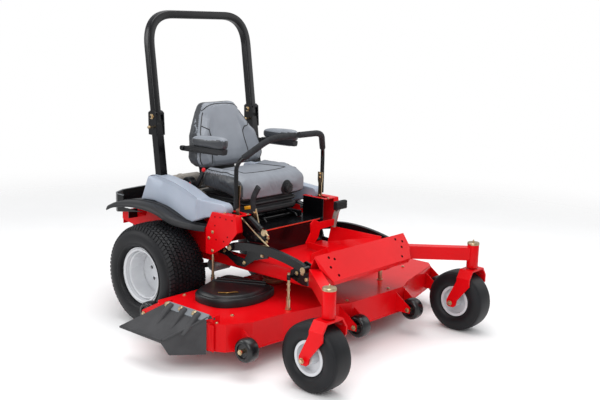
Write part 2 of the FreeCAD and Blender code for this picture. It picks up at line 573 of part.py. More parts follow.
def linkage():
    """Deck lift linkage on each side: a long curved arm, a bell crank, a front bracket and hanger rods."""
    made = []
    for side in SIDES.values():
        x = side * 400
        line = [(491, 526), (620, 549), (767, 551), (905, 535), (1043, 503)]
        arm = smooth_band(line, 46, x - 13, x + 13)
        ends = [rod((x - 24, f, z), (x + 24, f, z), 20) for f, z in (line[0], line[-1])]
        crank = side_prism([(336, 500), (400, 500), (470, 470), (560, 462), (600, 520), (742, 520),
                            (742, 500), (640, 470), (560, 415), (500, 415), (420, 455), (336, 464)],
                           x - side * 34, x - side * 26)
        bracket = side_prism([(915, 470), (915, 430), (1000, 405), (1036, 405), (1036, 457), (1064, 527),
                              (1020, 540)], x - side * 34, x - side * 22)
        tie = rod((x - side * 20, 491, 526), (x - side * 34, 491, 526), 12)
        tie_front = rod((x, 1043, 503), (x - side * 34, 1043, 503), 12)
        stubs = [rod((x - side * 30, f, z), (side * (RAIL_X + RAIL_WIDTH / 2), f, z), 12)
                 for f, z in ((560, 438), (1020, 425))]
        rods = []
        # threaded hanger rods from the crank and the bracket down to lugs on the deck
        for f, z_top, z_cross in ((HANGER_REAR, 556, 482), (935, 462, 442)):
            x_rod = side * HANGER_X
            hanger = rod((x_rod, f, DECK_TOP_Z), (x_rod, f, z_top), 7)
            lug = rod((x_rod, f, DECK_TOP_Z), (x_rod, f, DECK_TOP_Z + 58), HANGER_LUG_R)
            sleeve = rod((x_rod, f, z_cross - 14), (x_rod, f, z_cross + 14), HANGER_LUG_R)
            cross = rod((x_rod, f, z_cross), (x - side * 26, f, z_cross), 7)
            rods += [hanger, lug, sleeve, cross]
        made.append(join([arm, crank, bracket, tie, tie_front] + stubs + ends + rods))
    node("deck_linkage", *made)


def controls():
    """The perforated height-of-cut plate, the brake lever and the deck lift pedal."""
    plate = side_prism([(508, 682), (547, 704), (714, 627), (693, 569), (560, 560), (510, 590)], -342, -336)
    for i in range(5):
        for j in range(3):
            f, z = 545 + i * 30 + j * 4, 662 - j * 30 - i * 13
            plate = plate.cut(rod((-350, f, z), (-330, f, z), 5))
    damper = rod((-355, 585, 698), (-355, 676, 648), 15)
    bolt = rod((-338, 530, 640), (-CONSOLE_INNER_X, 530, 640), 8)
    node("height_plate", join([plate, damper, bolt]))
    brake = side_prism([(PANEL_FORWARD + SHEET, 590), (572, 585), (608, 640), (590, 700), (566, 780),
                        (612, 872), (584, 884), (532, 782), (560, 700), (575, 650)], -306, -294)
    node("parking_brake", brake)
    # a cut plate carries the pedal's motion across to the middle, and a second one runs on to the floor
    outline = [(300, 612), (300, 572), (166, 566), (150, 520), (96, 470), (40, 500), (84, 560), (78, 612),
               (110, 636), (160, 612)]
    arm = front_prism(outline, 652, 660)
    tail = side_prism([(652, 470), (652, 505), (800, 500), (806, 462)], 60, 68)
    sole = FLOOR_Z + SHEET
    foot = prism([(68, 800, sole), (68, 800, 500), (-120, 830, 498), (-120, 830, sole)], (0, 6, 0))
    stem = front_prism([(292, 560), (318, 560), (350, 660), (350, 700), (326, 700), (318, 664)], 646, 658)
    pad = box(308, 396, 650, 668, 668, 712)
    node("lift_pedal", join([arm, tail, foot, stem, pad]))


# ---- bodywork ------------------------------------------------------------------------------------
def bodywork():
    cover_line = [(-244, 702), (-186, 848), (-150, 862), (-30, 856), (60, 846), (142, 822), (200, 800),
                  (262, 772), (440, 764), (470, 742), (470, 712), (430, 690), (300, 668), (222, 634),
                  (153, 618), (85, 652), (0, 688), (-129, 708)]
    plan = [(-360, -260), (-455, -260), (-462, 100), (-456, 264), (-420, 480), (-360, 480)]
    cover = side_prism(cover_line, -360, -470).common(plan_prism(plan, 500, 1000))
    f0, z0 = ROPS_FOOT
    f1, z1 = ROPS_HINGE
    reach = ROPS_TUBE / 2 + COVER_GAP
    pocket = side_prism([(f0 - 80, z0 - 60), (f0 + 80, z0 - 60), (f0 + reach + 20, z0 + 100),
                         (f1 + reach, z1), (f1 - reach, z1), (f0 - reach - 20, z0 + 100)],
                        -ROPS_X - reach, -ROPS_X + reach)
    cover = cover.cut(pocket)
    console = box(-CONSOLE_X - COVER_GAP, -CONSOLE_INNER_X, 320, 600, 400, CONSOLE_TOP_Z + COVER_GAP)
    lever_room = box(-LEVER_X - 34, -CONSOLE_INNER_X, LEVER_FORWARD - 54, 600, 700, 900)
    cover = cover.cut(console).cut(lever_room)
    node("side_cover_right", cover)
    node("side_cover_left", mirrored(cover))
    trim_line = [(-452, 640), (-380, 668), (-240, 692), (-110, 698), (0, 682), (90, 655), (180, 622),
                 (262, 604), (315, 603)]
    band = smooth_band(trim_line, 13, -358, -560)
    lip = smooth_band([(f, z - 10) for f, z in trim_line], 30, -560, -570)
    trim = join([band, lip]).cut(cover)
    walls = box(-WALL_X - SHEET, -WALL_X, -600, 340, 400, 651)
    posts = box(-ROPS_X - 30, -ROPS_X + 30, f0 - 64, f0 + 64, 600, 740)
    trim = trim.cut(walls).cut(posts)
    parts = sorted(trim.Solids, key=lambda s: -s.Volume)
    node("fender_trims", parts[0], mirrored(parts[0]))
    guard()
    w, d, h = ENGINE_SIZE
    base = FLOOR_Z + 26
    node("engine", box(-w / 2, w / 2, ENGINE_FRONT, ENGINE_FRONT - d, base, base + h))
    plate_x = RAIL_X + 20
    node("engine_plate", box(-plate_x, plate_x, ENGINE_FRONT + 60, ENGINE_FRONT - d - 20, FLOOR_Z, base))


def guard():
    """The rear guard: a bar bent in plan round the engine, deeper at the back than at the sides."""
    g, rear = GUARD_HALF, GUARD_REAR
    outer = [(-g, -240), (-g, rear + 118), (-g + 28, rear + 68), (-316, rear + 20), (-150, rear), (150, rear),
             (316, rear + 20), (g - 28, rear + 68), (g, rear + 118), (g, -240)]
    t = SHEET + 1
    inner = [(g - t, -240), (g - t, rear + 120), (g - 32, rear + 74), (312, rear + 27), (149, rear + t),
             (-149, rear + t), (-312, rear + 27), (-g + 32, rear + 74), (-g + t, rear + 120), (-g + t, -240)]
    bar = plan_prism(outer + inner, GUARD_TOP_Z - GUARD_HEIGHT, GUARD_TOP_Z)
    low = GUARD_TOP_Z - GUARD_HEIGHT
    under = side_prism([(rear + 90, low), (-200, low + 52), (-200, low - 10), (rear + 90, low - 10)],
                       -g - 10, g + 10)
    bar = bar.cut(under)
    trims = box(-g - 20, -g + 60, -460, -230, 610, 720)
    bar = bar.cut(trims).cut(mirrored(trims))
    stays = [box(s * (g - t), s * (WALL_X + SHEET), -420, -412, 545, 600) for s in SIDES.values()]
    node("rear_guard", join([bar] + stays))


# ---- seat ----------------------------------------------------------------------------------------
def seat():
    base = box(-200, 200, 30, 420, PANEL_TOP_Z, 700)
    bellows = box(-216, 216, -62, 424, 700, CUSHION_BOTTOM_Z)
    spine = box(-180, 180, -62, -44, 700, 970)
    top, low = CUSHION_TOP_Z, CUSHION_BOTTOM_Z
    outline = [(CUSHION_REAR, low), (CUSHION_REAR, top - 12), (CUSHION_REAR + 90, top),
               (CUSHION_FRONT - 74, top - 12), (CUSHION_FRONT - 14, top - 44), (CUSHION_FRONT, low + 30),
               (CUSHION_FRONT - 8, low)]
    cushion = side_prism(outline, -CUSHION_HALF, CUSHION_HALF)
    cushion = rounded(cushion, 30, lambda d, m: abs(m.x) > CUSHION_HALF - 1 and m.z > low + 60)
    node("seat_cushion", cushion)
    # the backrest leans, so its outline is swept back and up along the lean
    b, z = BACK_HALF, BACK_TOP_Z
    face = [(b - 10, 905), (b + 26, 950), (b + 4, 1040), (b - 50, 1150), (b - 74, 1225), (b - 150, z)]
    outline = face + [(-a, c) for a, c in reversed(face)]
    slab = front_prism(outline, 120, -160)
    lean = side_prism([(62, 900), (50, 1000), (6, 1150), (-24, 1240), (-44, z), (-96, z), (-124, 1240),
                       (-98, 1150), (-52, 1000), (-38, 900)], -400, 400)
    back = slab.common(lean)
    node("seat_back", back)
    node("seat_base", join([base, bellows, spine]).cut(back))
    for name, side in SIDES.items():
        x = side * ARMREST_X
        inner, outer = x - side * ARMREST_WIDTH / 2, x + side * ARMREST_WIDTH / 2
        pad = box(inner, outer, ARMREST_REAR, ARMREST_FRONT, ARMREST_Z, ARMREST_Z + 74)
        pad = rounded(pad, 18, lambda d, m: True)
        strap = box(x + side * 4, x + side * 16, -40, ARMREST_FRONT - 60, ARMREST_Z - 32, ARMREST_Z + 6)
        px, pf, pz = ARMREST_PIVOT[name]
        pin = rod((side * ARMREST_PIN_X, pf, pz), (px + side * 26, pf, pz), 9)
        node(f"armrest_{name}", join([pad, strap, pin]))


def levers():
    for name, side in SIDES.items():
        x = side * LEVER_X
        f = LEVER_FORWARD
        points = [(x, f, 770), (x, f, LEVER_BEND_Z), (side * LEVER_GRIP_X, LEVER_GRIP_FORWARD, LEVER_GRIP_Z),
                  (side * LEVER_END_X, LEVER_GRIP_FORWARD + 2, LEVER_GRIP_Z + 2)]
        tube = bent_bar(points, 48, LEVER_TUBE_R)
        foot = LEVER_PIVOT_Z - 14
        strip = side_prism([(f - 13, foot), (f + 13, foot), (f + 13, 800), (f + 18, 866), (f - 18, 866),
                            (f - 13, 800)], x - side * 12, x - side * 20)
        pivot = rod((side * (CONSOLE_INNER_X + 0.5), f, LEVER_PIVOT_Z), (x - side * 12, f, LEVER_PIVOT_Z), 9)
        node(f"control_lever_{name}", join([tube, strip, pivot]))


def build():
    drive_wheels()
    casters()
    frame()
    consoles()
    rops()
    deck()
    blades()
    rollers()
    belt_covers()
    deflector()
    linkage()
    controls()
    bodywork()
    seat()
    levers()


def export():
    os.makedirs("parts", exist_ok=True)
    for name, shape in SHAPES.items():
        placed = shape.copy()
        placed.translate(ORIGIN_SHIFT)
        if not placed.isValid():
            print("not valid:", name)
        placed.exportStep(f"parts/{name}.step")


if __name__ == "__main__":
    build()
    export()
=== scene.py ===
import bmesh
import bpy
import math
import numpy as np
from mathutils import Matrix, Vector, bvhtree


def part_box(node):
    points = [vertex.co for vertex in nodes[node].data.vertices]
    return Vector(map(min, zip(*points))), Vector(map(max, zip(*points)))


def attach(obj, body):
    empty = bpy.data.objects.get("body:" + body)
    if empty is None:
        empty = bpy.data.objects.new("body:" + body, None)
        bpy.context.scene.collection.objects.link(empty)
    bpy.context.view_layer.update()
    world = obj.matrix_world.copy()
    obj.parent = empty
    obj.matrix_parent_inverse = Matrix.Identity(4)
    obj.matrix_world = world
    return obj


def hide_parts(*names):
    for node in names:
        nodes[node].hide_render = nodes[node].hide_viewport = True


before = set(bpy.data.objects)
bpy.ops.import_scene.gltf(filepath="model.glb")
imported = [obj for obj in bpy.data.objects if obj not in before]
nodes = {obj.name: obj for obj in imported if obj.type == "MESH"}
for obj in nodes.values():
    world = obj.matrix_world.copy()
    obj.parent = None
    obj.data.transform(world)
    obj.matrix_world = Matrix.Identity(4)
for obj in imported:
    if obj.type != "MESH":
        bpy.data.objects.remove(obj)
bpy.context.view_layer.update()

SIDES = {"right": -1, "left": 1}

# ---- Camera, floor and light ---------------------------------------------------------------------
# The machine stands on a pale seamless floor under large soft boxes. The camera is at head height,
# in front of the machine and to the driver's right.
tyre_low, tyre_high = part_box("drive_tyre_right")[0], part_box("drive_tyre_left")[1]
AXLE = np.array([(tyre_low.x + tyre_high.x) / 2, (tyre_low.y + tyre_high.y) / 2, 0.0])


def at(x, forward, up):
    """Metres in the frame's axes, from mm to the driver's left, forward of the rear axle and up from the
    floor."""
    x, forward, up = np.broadcast_arrays(x, forward, up)
    return AXLE + np.stack([x, -forward, up], -1) * 0.001


def srgb(code):
    """Linear colour of an sRGB hex code: c / 12.92 for dark channels, ((c + 0.055) / 1.055) ^ 2.4 for the
    rest."""
    c = np.array([int(code[i:i + 2], 16) for i in (1, 3, 5)]) / 255
    return (*np.where(c <= 0.04045, c / 12.92, ((c + 0.055) / 1.055) ** 2.4), 1.0)


def add(tree, kind, settings, links={}):
    """Adds one node: settings are its sockets' values or its attributes, links are socket: (node,
    output)."""
    node = tree.nodes.new("ShaderNode" + kind)
    for key, value in settings.items():
        if key in node.inputs:
            node.inputs[key].default_value = value
        else:
            setattr(node, key, value)
    for key, (source, output) in links.items():
        tree.links.new(source.outputs[output], node.inputs[key])
    return node


def finish(name, dark, light, patch, grain, depth, roughness, drift=0.05, **shader):
    """A finish whose colour and roughness drift between two shades over patches, with a grain pressed into
    it.

    The colour runs from dark to light, and the roughness by plus or minus drift, as noise with patches of
    that many mm. The grain is noise of that many mm across and depth mm deep. The rest are the shader's own
    values.
    """
    made = bpy.data.materials.new(name)
    made.use_nodes = True
    tree = made.node_tree
    tree.nodes.clear()
    place = add(tree, "TexCoord", {})
    cloud = add(tree, "TexNoise", {"Scale": 1000 / patch, "Detail": 4.0}, {"Vector": (place, "Object")})
    shade = add(tree, "ValToRGB", {}, {"Fac": (cloud, "Fac")})
    for stop, position, code in zip(shade.color_ramp.elements, (0.35, 0.65), (dark, light)):
        stop.position, stop.color = position, srgb(code)
    gloss = add(tree, "MapRange", {"To Min": roughness - drift, "To Max": roughness + drift},
                {"Value": (cloud, "Fac")})
    pores = add(tree, "TexNoise", {"Scale": 1000 / grain, "Detail": 2.0}, {"Vector": (place, "Object")})
    relief = add(tree, "Bump", {"Distance": depth / 1000}, {"Height": (pores, "Fac")})
    surface = add(tree, "BsdfPrincipled", shader, {"Base Color": (shade, "Color"),
                                                   "Roughness": (gloss, "Result"),
                                                   "Normal": (relief, "Normal")})
    add(tree, "OutputMaterial", {}, {"Surface": (surface, "BSDF")})
    return made


def lattice(points, wrap_rows=False, wrap_columns=False, ends=False):
    """Points in rows and columns, with a face between each four neighbours, and a flat face on each end
    row."""
    rows, columns = points.shape[:2]
    index = np.arange(rows * columns).reshape(rows, columns)
    first, last = index[0].tolist(), index[-1].tolist()
    if wrap_rows:
        index = np.vstack([index, index[:1]])
    if wrap_columns:
        index = np.hstack([index, index[:, :1]])
    quads = np.stack([index[:-1, :-1], index[1:, :-1], index[1:, 1:], index[:-1, 1:]], -1).reshape(-1, 4)
    return points.reshape(-1, 3), quads.tolist() + ([first[::-1], last] if ends else [])


def stacked(rings):
    """Rings of points stacked along a form and joined, with a flat face over the first and the last
    ring."""
    return lattice(np.stack(rings), False, True, True)


def rounded(thing, edge):
    """Rounds corners sharper than 40 degrees by that many mm, as folding or grinding does."""
    rounding = thing.modifiers.new("edges", "BEVEL")
    rounding.width, rounding.segments, rounding.limit_method = edge / 1000, 2, "ANGLE"
    rounding.angle_limit = math.radians(40)
    return rounding


def piece(name, shells, material, body, crease=32, edge=0.0):
    """One object made of closed shells: normals outwards, edges sharper than crease degrees kept sharp, and
    rounded by edge mm where that is given."""
    starts = np.cumsum([0] + [len(v) for v, f in shells])
    faces = [[i + start for i in face] for start, (v, f) in zip(starts, shells) for face in f]
    mesh = bpy.data.meshes.new(name)
    mesh.from_pydata(np.vstack([v for v, f in shells]).tolist(), [], faces)
    work = bmesh.new()
    work.from_mesh(mesh)
    bmesh.ops.remove_doubles(work, verts=work.verts, dist=2e-6)
    bmesh.ops.recalc_face_normals(work, faces=work.faces)
    work.to_mesh(mesh)
    work.free()
    mesh.polygons.foreach_set("use_smooth", np.ones(len(mesh.polygons), bool))
    mesh.set_sharp_from_angle(angle=math.radians(crease))
    mesh.materials.append(material)
    made = bpy.data.objects.new(name, mesh)
    bpy.context.scene.collection.objects.link(made)
    if edge:
        rounded(made, edge).harden_normals = True
    if body:
        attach(made, body)
    return made


EYE = (-3904.56, 4065.52, 1794.18)
LENS, SENSOR = 54.55, 36
scene = bpy.context.scene
yaw, pitch, roll = np.radians([48.7285, 11.2117, 1.4370])
ahead = Vector((math.sin(yaw) * math.cos(pitch), math.cos(yaw) * math.cos(pitch), -math.sin(pitch)))
across = ahead.cross(Vector((0, 0, 1))).normalized()
upward = across.cross(ahead)
turned_across = across * math.cos(roll) + upward * math.sin(roll)
turned_upward = upward * math.cos(roll) - across * math.sin(roll)
camera = bpy.data.objects.new("camera", bpy.data.cameras.new("camera"))
scene.collection.objects.link(camera)
camera.data.sensor_width, camera.data.lens = SENSOR, LENS
camera.matrix_world = Matrix((turned_across, turned_upward, -ahead)).transposed().to_4x4()
camera.location = at(*EYE)
scene.camera = camera

PAPER_REACH, FADE_FROM, FADE_TO = 6.5, 2.2, 6.0
seamless_paper = finish("seamless_paper", "#F4F4F4", "#F8F8F8", 900, 2, 0.02, 0.9)
paper = seamless_paper.node_tree
flat_on = add(paper, "SeparateXYZ", {}, {"Vector": (add(paper, "TexCoord", {}), "Object")})
away = add(paper, "VectorMath", {"operation": "LENGTH"},
           {0: (add(paper, "CombineXYZ", {}, {"X": (flat_on, "X"), "Y": (flat_on, "Y")}), "Vector")})
fade = add(paper, "MapRange", {"interpolation_type": "SMOOTHSTEP", "From Min": FADE_FROM,
                               "From Max": FADE_TO}, {"Value": (away, "Value")})
lit = next(node for node in paper.nodes if node.type == "BSDF_PRINCIPLED")
blend = add(paper, "MixShader", {}, {"Fac": (fade, "Result"), 1: (lit, "BSDF"),
                                     2: (add(paper, "BsdfTransparent", {}), "BSDF")})
paper.links.new(blend.outputs["Shader"], paper.nodes["Material Output"].inputs["Surface"])
turn = np.linspace(0, 2 * np.pi, 48, endpoint=False)
floor_rings = np.linspace(0, PAPER_REACH, 12)[:, None, None] * np.stack([np.cos(turn), np.sin(turn),
                                                                         turn * 0], -1)
floor = piece("floor", [lattice(floor_rings, False, True)], seamless_paper, None)
if floor.data.polygons[0].normal.z < 0:
    floor.data.flip_normals()
ROOM_LIGHT = 0.62
world = bpy.data.worlds.new("studio")
world.use_nodes = True
around = world.node_tree
soft_room = add(around, "Background", {"Color": srgb("#F4F5F7"), "Strength": ROOM_LIGHT})
white_wall = add(around, "Background", {"Color": srgb("#FFFFFF"), "Strength": 1.0})
seen = add(around, "MixShader", {}, {"Fac": (add(around, "LightPath", {}), "Is Camera Ray"),
                                     1: (soft_room, "Background"), 2: (white_wall, "Background")})
around.links.new(seen.outputs["Shader"], around.nodes["World Output"].inputs["Surface"])
scene.world = world
scene.view_settings.view_transform = "Standard"
for name, spot, aim, width, watts in (("top_box", (300, 500, 4600), (0, 500, 400), 4.2, 150),
                                      ("key_box", (-3000, 2600, 2600), (0, 500, 600), 2.4, 62),
                                      ("side_box", (3600, 2400, 2600), (0, 500, 600), 2.6, 26),
                                      ("rim_box", (-3200, -2600, 2600), (0, 0, 700), 2.2, 50)):
    lamp = bpy.data.objects.new(name, bpy.data.lights.new(name, "AREA"))
    lamp.data.size, lamp.data.energy = width, watts
    lamp.location = at(*spot)
    lamp.rotation_euler = (Vector(at(*aim)) - lamp.location).to_track_quat("-Z", "Y").to_euler()
    scene.collection.objects.link(lamp)

# ---- Red steelwork -------------------------------------------------------------------------------
# The rails, cross tubes, side walls, leg boxes, floor pan, front beam and caster arms are mild steel, sawn
# or laser cut, folded and welded. They are powder coated: a smooth, hard, glossy skin with faint orange
# peel.
powder_coat_red = finish("powder_coat_red", "#D0070F", "#DC0B14", 260, 3.5, 0.035, 0.24, 0.04,
                         **{"Specular IOR Level": 0.14})


def dress(name, material, edge=0.0):
    """Gives a CAD node its finish, and rounds its corners by that many mm."""
    node = nodes[name]
    node.data.materials.clear()
    node.data.materials.append(material)
    if edge:
        weld = node.modifiers.new("weld", "WELD")
        weld.merge_threshold = 1e-5
        rounded(node, edge)


for name, edge in (("frame_rails", 4), ("cross_members", 3), ("side_walls", 1), ("side_consoles", 1.2),
                   ("floor_pan", 1), ("front_beam", 1.2), ("deck_shell", 1.2), ("lift_pedal", 1),
                   ("caster_arm_right", 3), ("caster_arm_left", 3), ("caster_fork_right", 2.5),
                   ("caster_fork_left", 2.5)):
    dress(name, powder_coat_red, edge)

# ---- Black steelwork -----------------------------------------------------------------------------
# The roll bar's posts, the rear guard, the lift linkage, the console's panel and the engine's plate are
# satin black powder coat. The blades are forged steel, ground bright at their edges.
powder_coat_black = finish("powder_coat_black", "#060608", "#0C0D10", 200, 2.5, 0.03, 0.24, 0.05,
                           **{"Specular IOR Level": 0.34})
for name, edge in (("rops_posts", 3), ("rear_guard", 2), ("deck_linkage", 1.5), ("engine_plate", 1),
                   ("console_panel", 1.2), ("height_plate", 0.8)):
    dress(name, powder_coat_black, edge)
dress("wheel_motors", powder_coat_black, 2)
blade_steel = finish("ground_blade_steel", "#6E6E6C", "#8C8B88", 60, 1.2, 0.02, 0.38, 0.08, Metallic=1.0)
for name in ("right", "middle", "left"):
    dress(f"blade_{name}", blade_steel, 0.6)

# ---- Drive tyres ---------------------------------------------------------------------------------
# Wide turf tyres of carbon-black rubber, moulded in one piece: a plain sidewall with a shallow rib, and
# a tread of small slanted blocks in alternate rows. The moulded face is matt.
tyre_rubber = finish("moulded_tyre_rubber", "#0B0C0F", "#131418", 90, 1.6, 0.05, 0.5, 0.08,
                     **{"Specular IOR Level": 0.3})
DRIVE_X, DRIVE_R = 542, 305
BLOCK_DEPTH, BLOCK_LENGTH = 11, 21.4
BLOCK_ROWS = np.array([-122, -99, -74, -49, -25, 0, 25, 49, 74, 99, 122])
BLOCK_HALVES = np.array([12.5, 9.6, 11, 11, 11, 11, 11, 11, 11, 9.6, 12.5])
PITCHES = 72


def curve(points, steps=6, closed=False):
    """A smooth line through points: between p1 and p2, with p0 before and p3 after, half of
    2 p1 + (p2 - p0) t + (2 p0 - 5 p1 + 4 p2 - p3) t^2 + (3 p1 - p0 - 3 p2 + p3) t^3."""
    p = np.array(points, float)
    p = np.vstack([p[-1:], p, p[:2]]) if closed else np.vstack([2 * p[:1] - p[1:2], p,
                                                                2 * p[-1:] - p[-2:-1]])
    t = np.linspace(0, 1, steps, endpoint=False)[None, :, None]
    p0, p1, p2, p3 = (p[i:len(p) - 3 + i, None] for i in range(4))
    line = 0.5 * (2 * p1 + (p2 - p0) * t + (2 * p0 - 5 * p1 + 4 * p2 - p3) * t ** 2
                  + (3 * p1 - p0 - 3 * p2 + p3) * t ** 3)
    line = line.reshape(-1, p.shape[1])
    return line if closed else np.vstack([line, p[-2:-1]])


def turned(profile, centre, axis=0, steps=64, ring=False):
    """An (along, radius) outline in mm turned about an axis: centre + along a + radius (cos t b + sin t
    c)."""
    profile = np.array(profile, float) * 0.001
    t = np.linspace(0, 2 * np.pi, steps, endpoint=False)[:, None]
    unit = np.eye(3)
    points = (at(*centre) + profile[:, :1] * unit[axis] + profile[None, :, 1:]
              * (np.cos(t)[..., None] * unit[(axis + 1) % 3] + np.sin(t)[..., None] * unit[(axis + 2) % 3]))
    return lattice(points, True, ring)


def both_sides(half_profile):
    """The whole outline of a ring, from the half on its + side, listed from the middle outwards."""
    half = np.array(half_profile, float)
    return np.vstack([half[::-1] * [-1, 1], half[half[:, 0] > 0]])


def tread_blocks(centre):
    """Slanted blocks in rows round a tyre: x = row + u, angle = step + (v + slant u) / radius, top on the
    crown."""
    crown = np.array([[0, 304.5], [60, 302.5], [111, 293.5], [137, 277]])
    row, step = (a.ravel()[:, None] for a in np.meshgrid(np.arange(len(BLOCK_ROWS)), np.arange(PITCHES)))
    middle = BLOCK_ROWS[row]
    side_u = np.array([-1, 1, 1, -1, -0.84, 0.84, 0.84, -0.84]) * BLOCK_HALVES[row]
    side_v = np.array([-1, -1, 1, 1, -0.88, -0.88, 0.88, 0.88]) * BLOCK_LENGTH / 2
    slant = np.where(row % 2 == 0, 0.5, -0.5)
    x = middle + side_u
    radius = np.interp(np.abs(x), crown[:, 0], crown[:, 1]) - np.array([BLOCK_DEPTH] * 4 + [0] * 4)
    angle = (step + 0.5 * (row % 2)) * 2 * np.pi / PITCHES + (side_v + slant * side_u) / DRIVE_R
    points = at(centre[0] + x, centre[1] + radius * np.cos(angle), centre[2] + radius * np.sin(angle))
    block = np.array([[3, 2, 1, 0], [4, 5, 6, 7], [0, 1, 5, 4], [1, 2, 6, 5], [2, 3, 7, 6], [3, 0, 4, 7]])
    faces = (np.arange(len(points))[:, None, None] * 8 + block).reshape(-1, 4)
    return points.reshape(-1, 3), faces.tolist()


for name, side in SIDES.items():
    centre = (side * DRIVE_X, 0, DRIVE_R)
    half = curve([(0, 296), (60, 294), (104, 287), (126, 276), (140, 262), (147.5, 245), (149.6, 226),
                  (148.4, 210), (143, 194), (146.5, 190), (140, 181), (126, 175), (109, 170), (108, 153)], 3)
    tyre = piece(f"turf_tyre_{name}", [turned(both_sides(half), centre, steps=96, ring=True),
                                       tread_blocks(centre)], tyre_rubber, f"drive_wheel_{name}",
                 crease=38)
    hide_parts(f"drive_tyre_{name}")

# ---- Wheel rims ----------------------------------------------------------------------------------
# Pressed steel rims with a deep dish and a stepped well, stove enamelled white. The hub's face has the bolt
# holes. A brass valve stands in the dish.
stove_enamel_white = finish("stove_enamel_white", "#C6C8CC", "#D3D5D8", 160, 4, 0.02, 0.26, 0.05,
                            **{"Coat Weight": 0.3, "Coat Roughness": 0.1})
valve_brass = finish("valve_brass", "#A98545", "#C49C58", 20, 1, 0.01, 0.34, 0.05, Metallic=1.0)
zinc_yellow = finish("yellow_zinc_plate", "#B7A07C", "#CBB898", 18, 1.5, 0.02, 0.34, 0.08, Metallic=1.0)


def heads(places, facing, across=17, height=8):
    """Hexagon bolt heads on washers at (x, forward, up) points in mm. Each is a stepped outline of six
    corners about its facing direction: place + height a + radius (cos t b + sin t c)."""
    a = np.array([facing[0], -facing[1], facing[2]], float)
    a /= np.linalg.norm(a)
    b = np.cross(a, [0.0, 0.0, 1.0] if abs(a[2]) < 0.9 else [1.0, 0.0, 0.0])
    b /= np.linalg.norm(b)
    c = np.cross(a, b)
    steps = np.array([(0, 0), (0, 0.78), (0.18, 0.78), (0.18, 0.56), (0.86, 0.56), (1, 0.46), (1, 0)])
    t = np.arange(6)[None, :, None] * np.pi / 3
    rings = (steps[:, :1, None] * height * a + steps[:, 1:, None] * across
             * (np.cos(t) * b + np.sin(t) * c)) * 0.001
    one, faces = lattice(rings.reshape(7, 6, 3), False, True)
    places = at(*np.array(places, float).T)
    shift = np.arange(len(places))[:, None, None] * len(one)
    return (places[:, None] + one).reshape(-1, 3), (shift + np.array(faces)).reshape(-1, 4).tolist()


for name, side in SIDES.items():
    dress(f"drive_rim_{name}", stove_enamel_white, 1.5)
    dress(f"caster_rim_{name}", stove_enamel_white, 1.5)
    centre = (side * DRIVE_X, 0, DRIVE_R)
    well = curve([(64, 147), (84, 146.5), (94, 143), (96, 138), (88, 133), (60, 130), (24, 128), (-2, 127)],
                 3)
    shell = np.vstack([well, [(-2, 147)]]) * [side, 1]
    bead = curve([(117, 160), (122, 158), (121, 150), (114, 146), (109, 149), (110, 156)], 3,
                 closed=True) * [side, 1]
    piece(f"rim_well_{name}", [turned(shell, centre, steps=96, ring=True),
                               turned(bead, centre, steps=96, ring=True)], stove_enamel_white,
          f"drive_wheel_{name}", crease=45)
    stem = turned(np.array([(0, 0), (0, 7), (8, 7), (10, 4.5), (26, 4.5), (28, 5.5), (40, 5.5), (42, 0)])
                  * [side, 1], (side * DRIVE_X, -20, DRIVE_R + 106), 0, 16)
    piece(f"valve_{name}", [stem], valve_brass, f"drive_wheel_{name}")

# ---- Casters -------------------------------------------------------------------------------------
# Smooth ribless caster tyres on white rims, each held by an axle bolt in a folded flat-bar fork. The fork
# turns in a welded barrel, which a yellow zinc dust cap closes.
CASTER_X, CASTER_FORWARD, CASTER_R = 659, 1348, 180
PIVOT_FORWARD, BARREL_TOP = 1419, 538
for name, side in SIDES.items():
    hub = (side * CASTER_X, CASTER_FORWARD, CASTER_R)
    half = curve([(0, 179.9), (20, 179.7), (46, 178), (58, 174), (62, 168.5), (66.5, 165), (72, 152),
                  (75.6, 136), (74.6, 120), (69, 106), (60, 97), (55, 92.5), (54.6, 81)], 4)
    tyre = piece(f"smooth_tyre_{name}", [turned(both_sides(half), hub, steps=80, ring=True)], tyre_rubber,
                 f"caster_wheel_{name}", crease=50)
    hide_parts(f"caster_tyre_{name}")
    nuts = [heads([(hub[0] + end * 108, *hub[1:])], (end, 0, 0), 21, 13) for end in (-1, 1)]
    piece(f"axle_nuts_{name}", nuts, zinc_yellow, f"caster_fork_{name}")
    sleeves = [turned([(end * 63, 9.6), (end * 63, 17), (end * 84, 17), (end * 84, 9.6)], hub, 0, 24, True)
               for end in (-1, 1)]
    piece(f"axle_sleeves_{name}", sleeves, zinc_yellow, f"caster_fork_{name}")
    cap = turned([(-9, 0), (-9, 35.5), (1, 35.5), (5, 33), (6.5, 22), (7, 0)],
                 (side * CASTER_X, PIVOT_FORWARD, BARREL_TOP), 2, 40)
    grease = turned([(0, 0), (0, 5), (8, 5), (12, 3), (14, 3.6), (16, 0)], (side * CASTER_X, PIVOT_FORWARD,
                                                                            BARREL_TOP + 6), 2, 12)
    piece(f"barrel_cap_{name}", [cap, grease], zinc_yellow, "chassis")

# ---- Roll bar ------------------------------------------------------------------------------------
# One length of 50 mm square steel tube with rounded corners, bent cold into a hoop and powder coated black.
# It stands between hinge plates on two posts, on yellow zinc bolts, and a pull pin on a lanyard locks it.
ROPS_X, HINGE, HOOP_TOP = 404, (-167, 1208), (-249, 1807)


def sweep(path, section, side):
    """A closed (sideways, upwards) outline in mm carried along a path: point + u n + v b, where b is the
    path's direction crossed with the side direction, and n is b crossed with the path's direction."""
    section = np.array(section, float)[None] * 0.001
    t = np.gradient(path, axis=0)
    t /= np.linalg.norm(t, axis=1, keepdims=True)
    b = np.cross(t, np.array(side, float))
    b /= np.linalg.norm(b, axis=1, keepdims=True)
    n = np.cross(b, t)
    return stacked(path[:, None] + n[:, None] * section[..., :1] + b[:, None] * section[..., 1:])


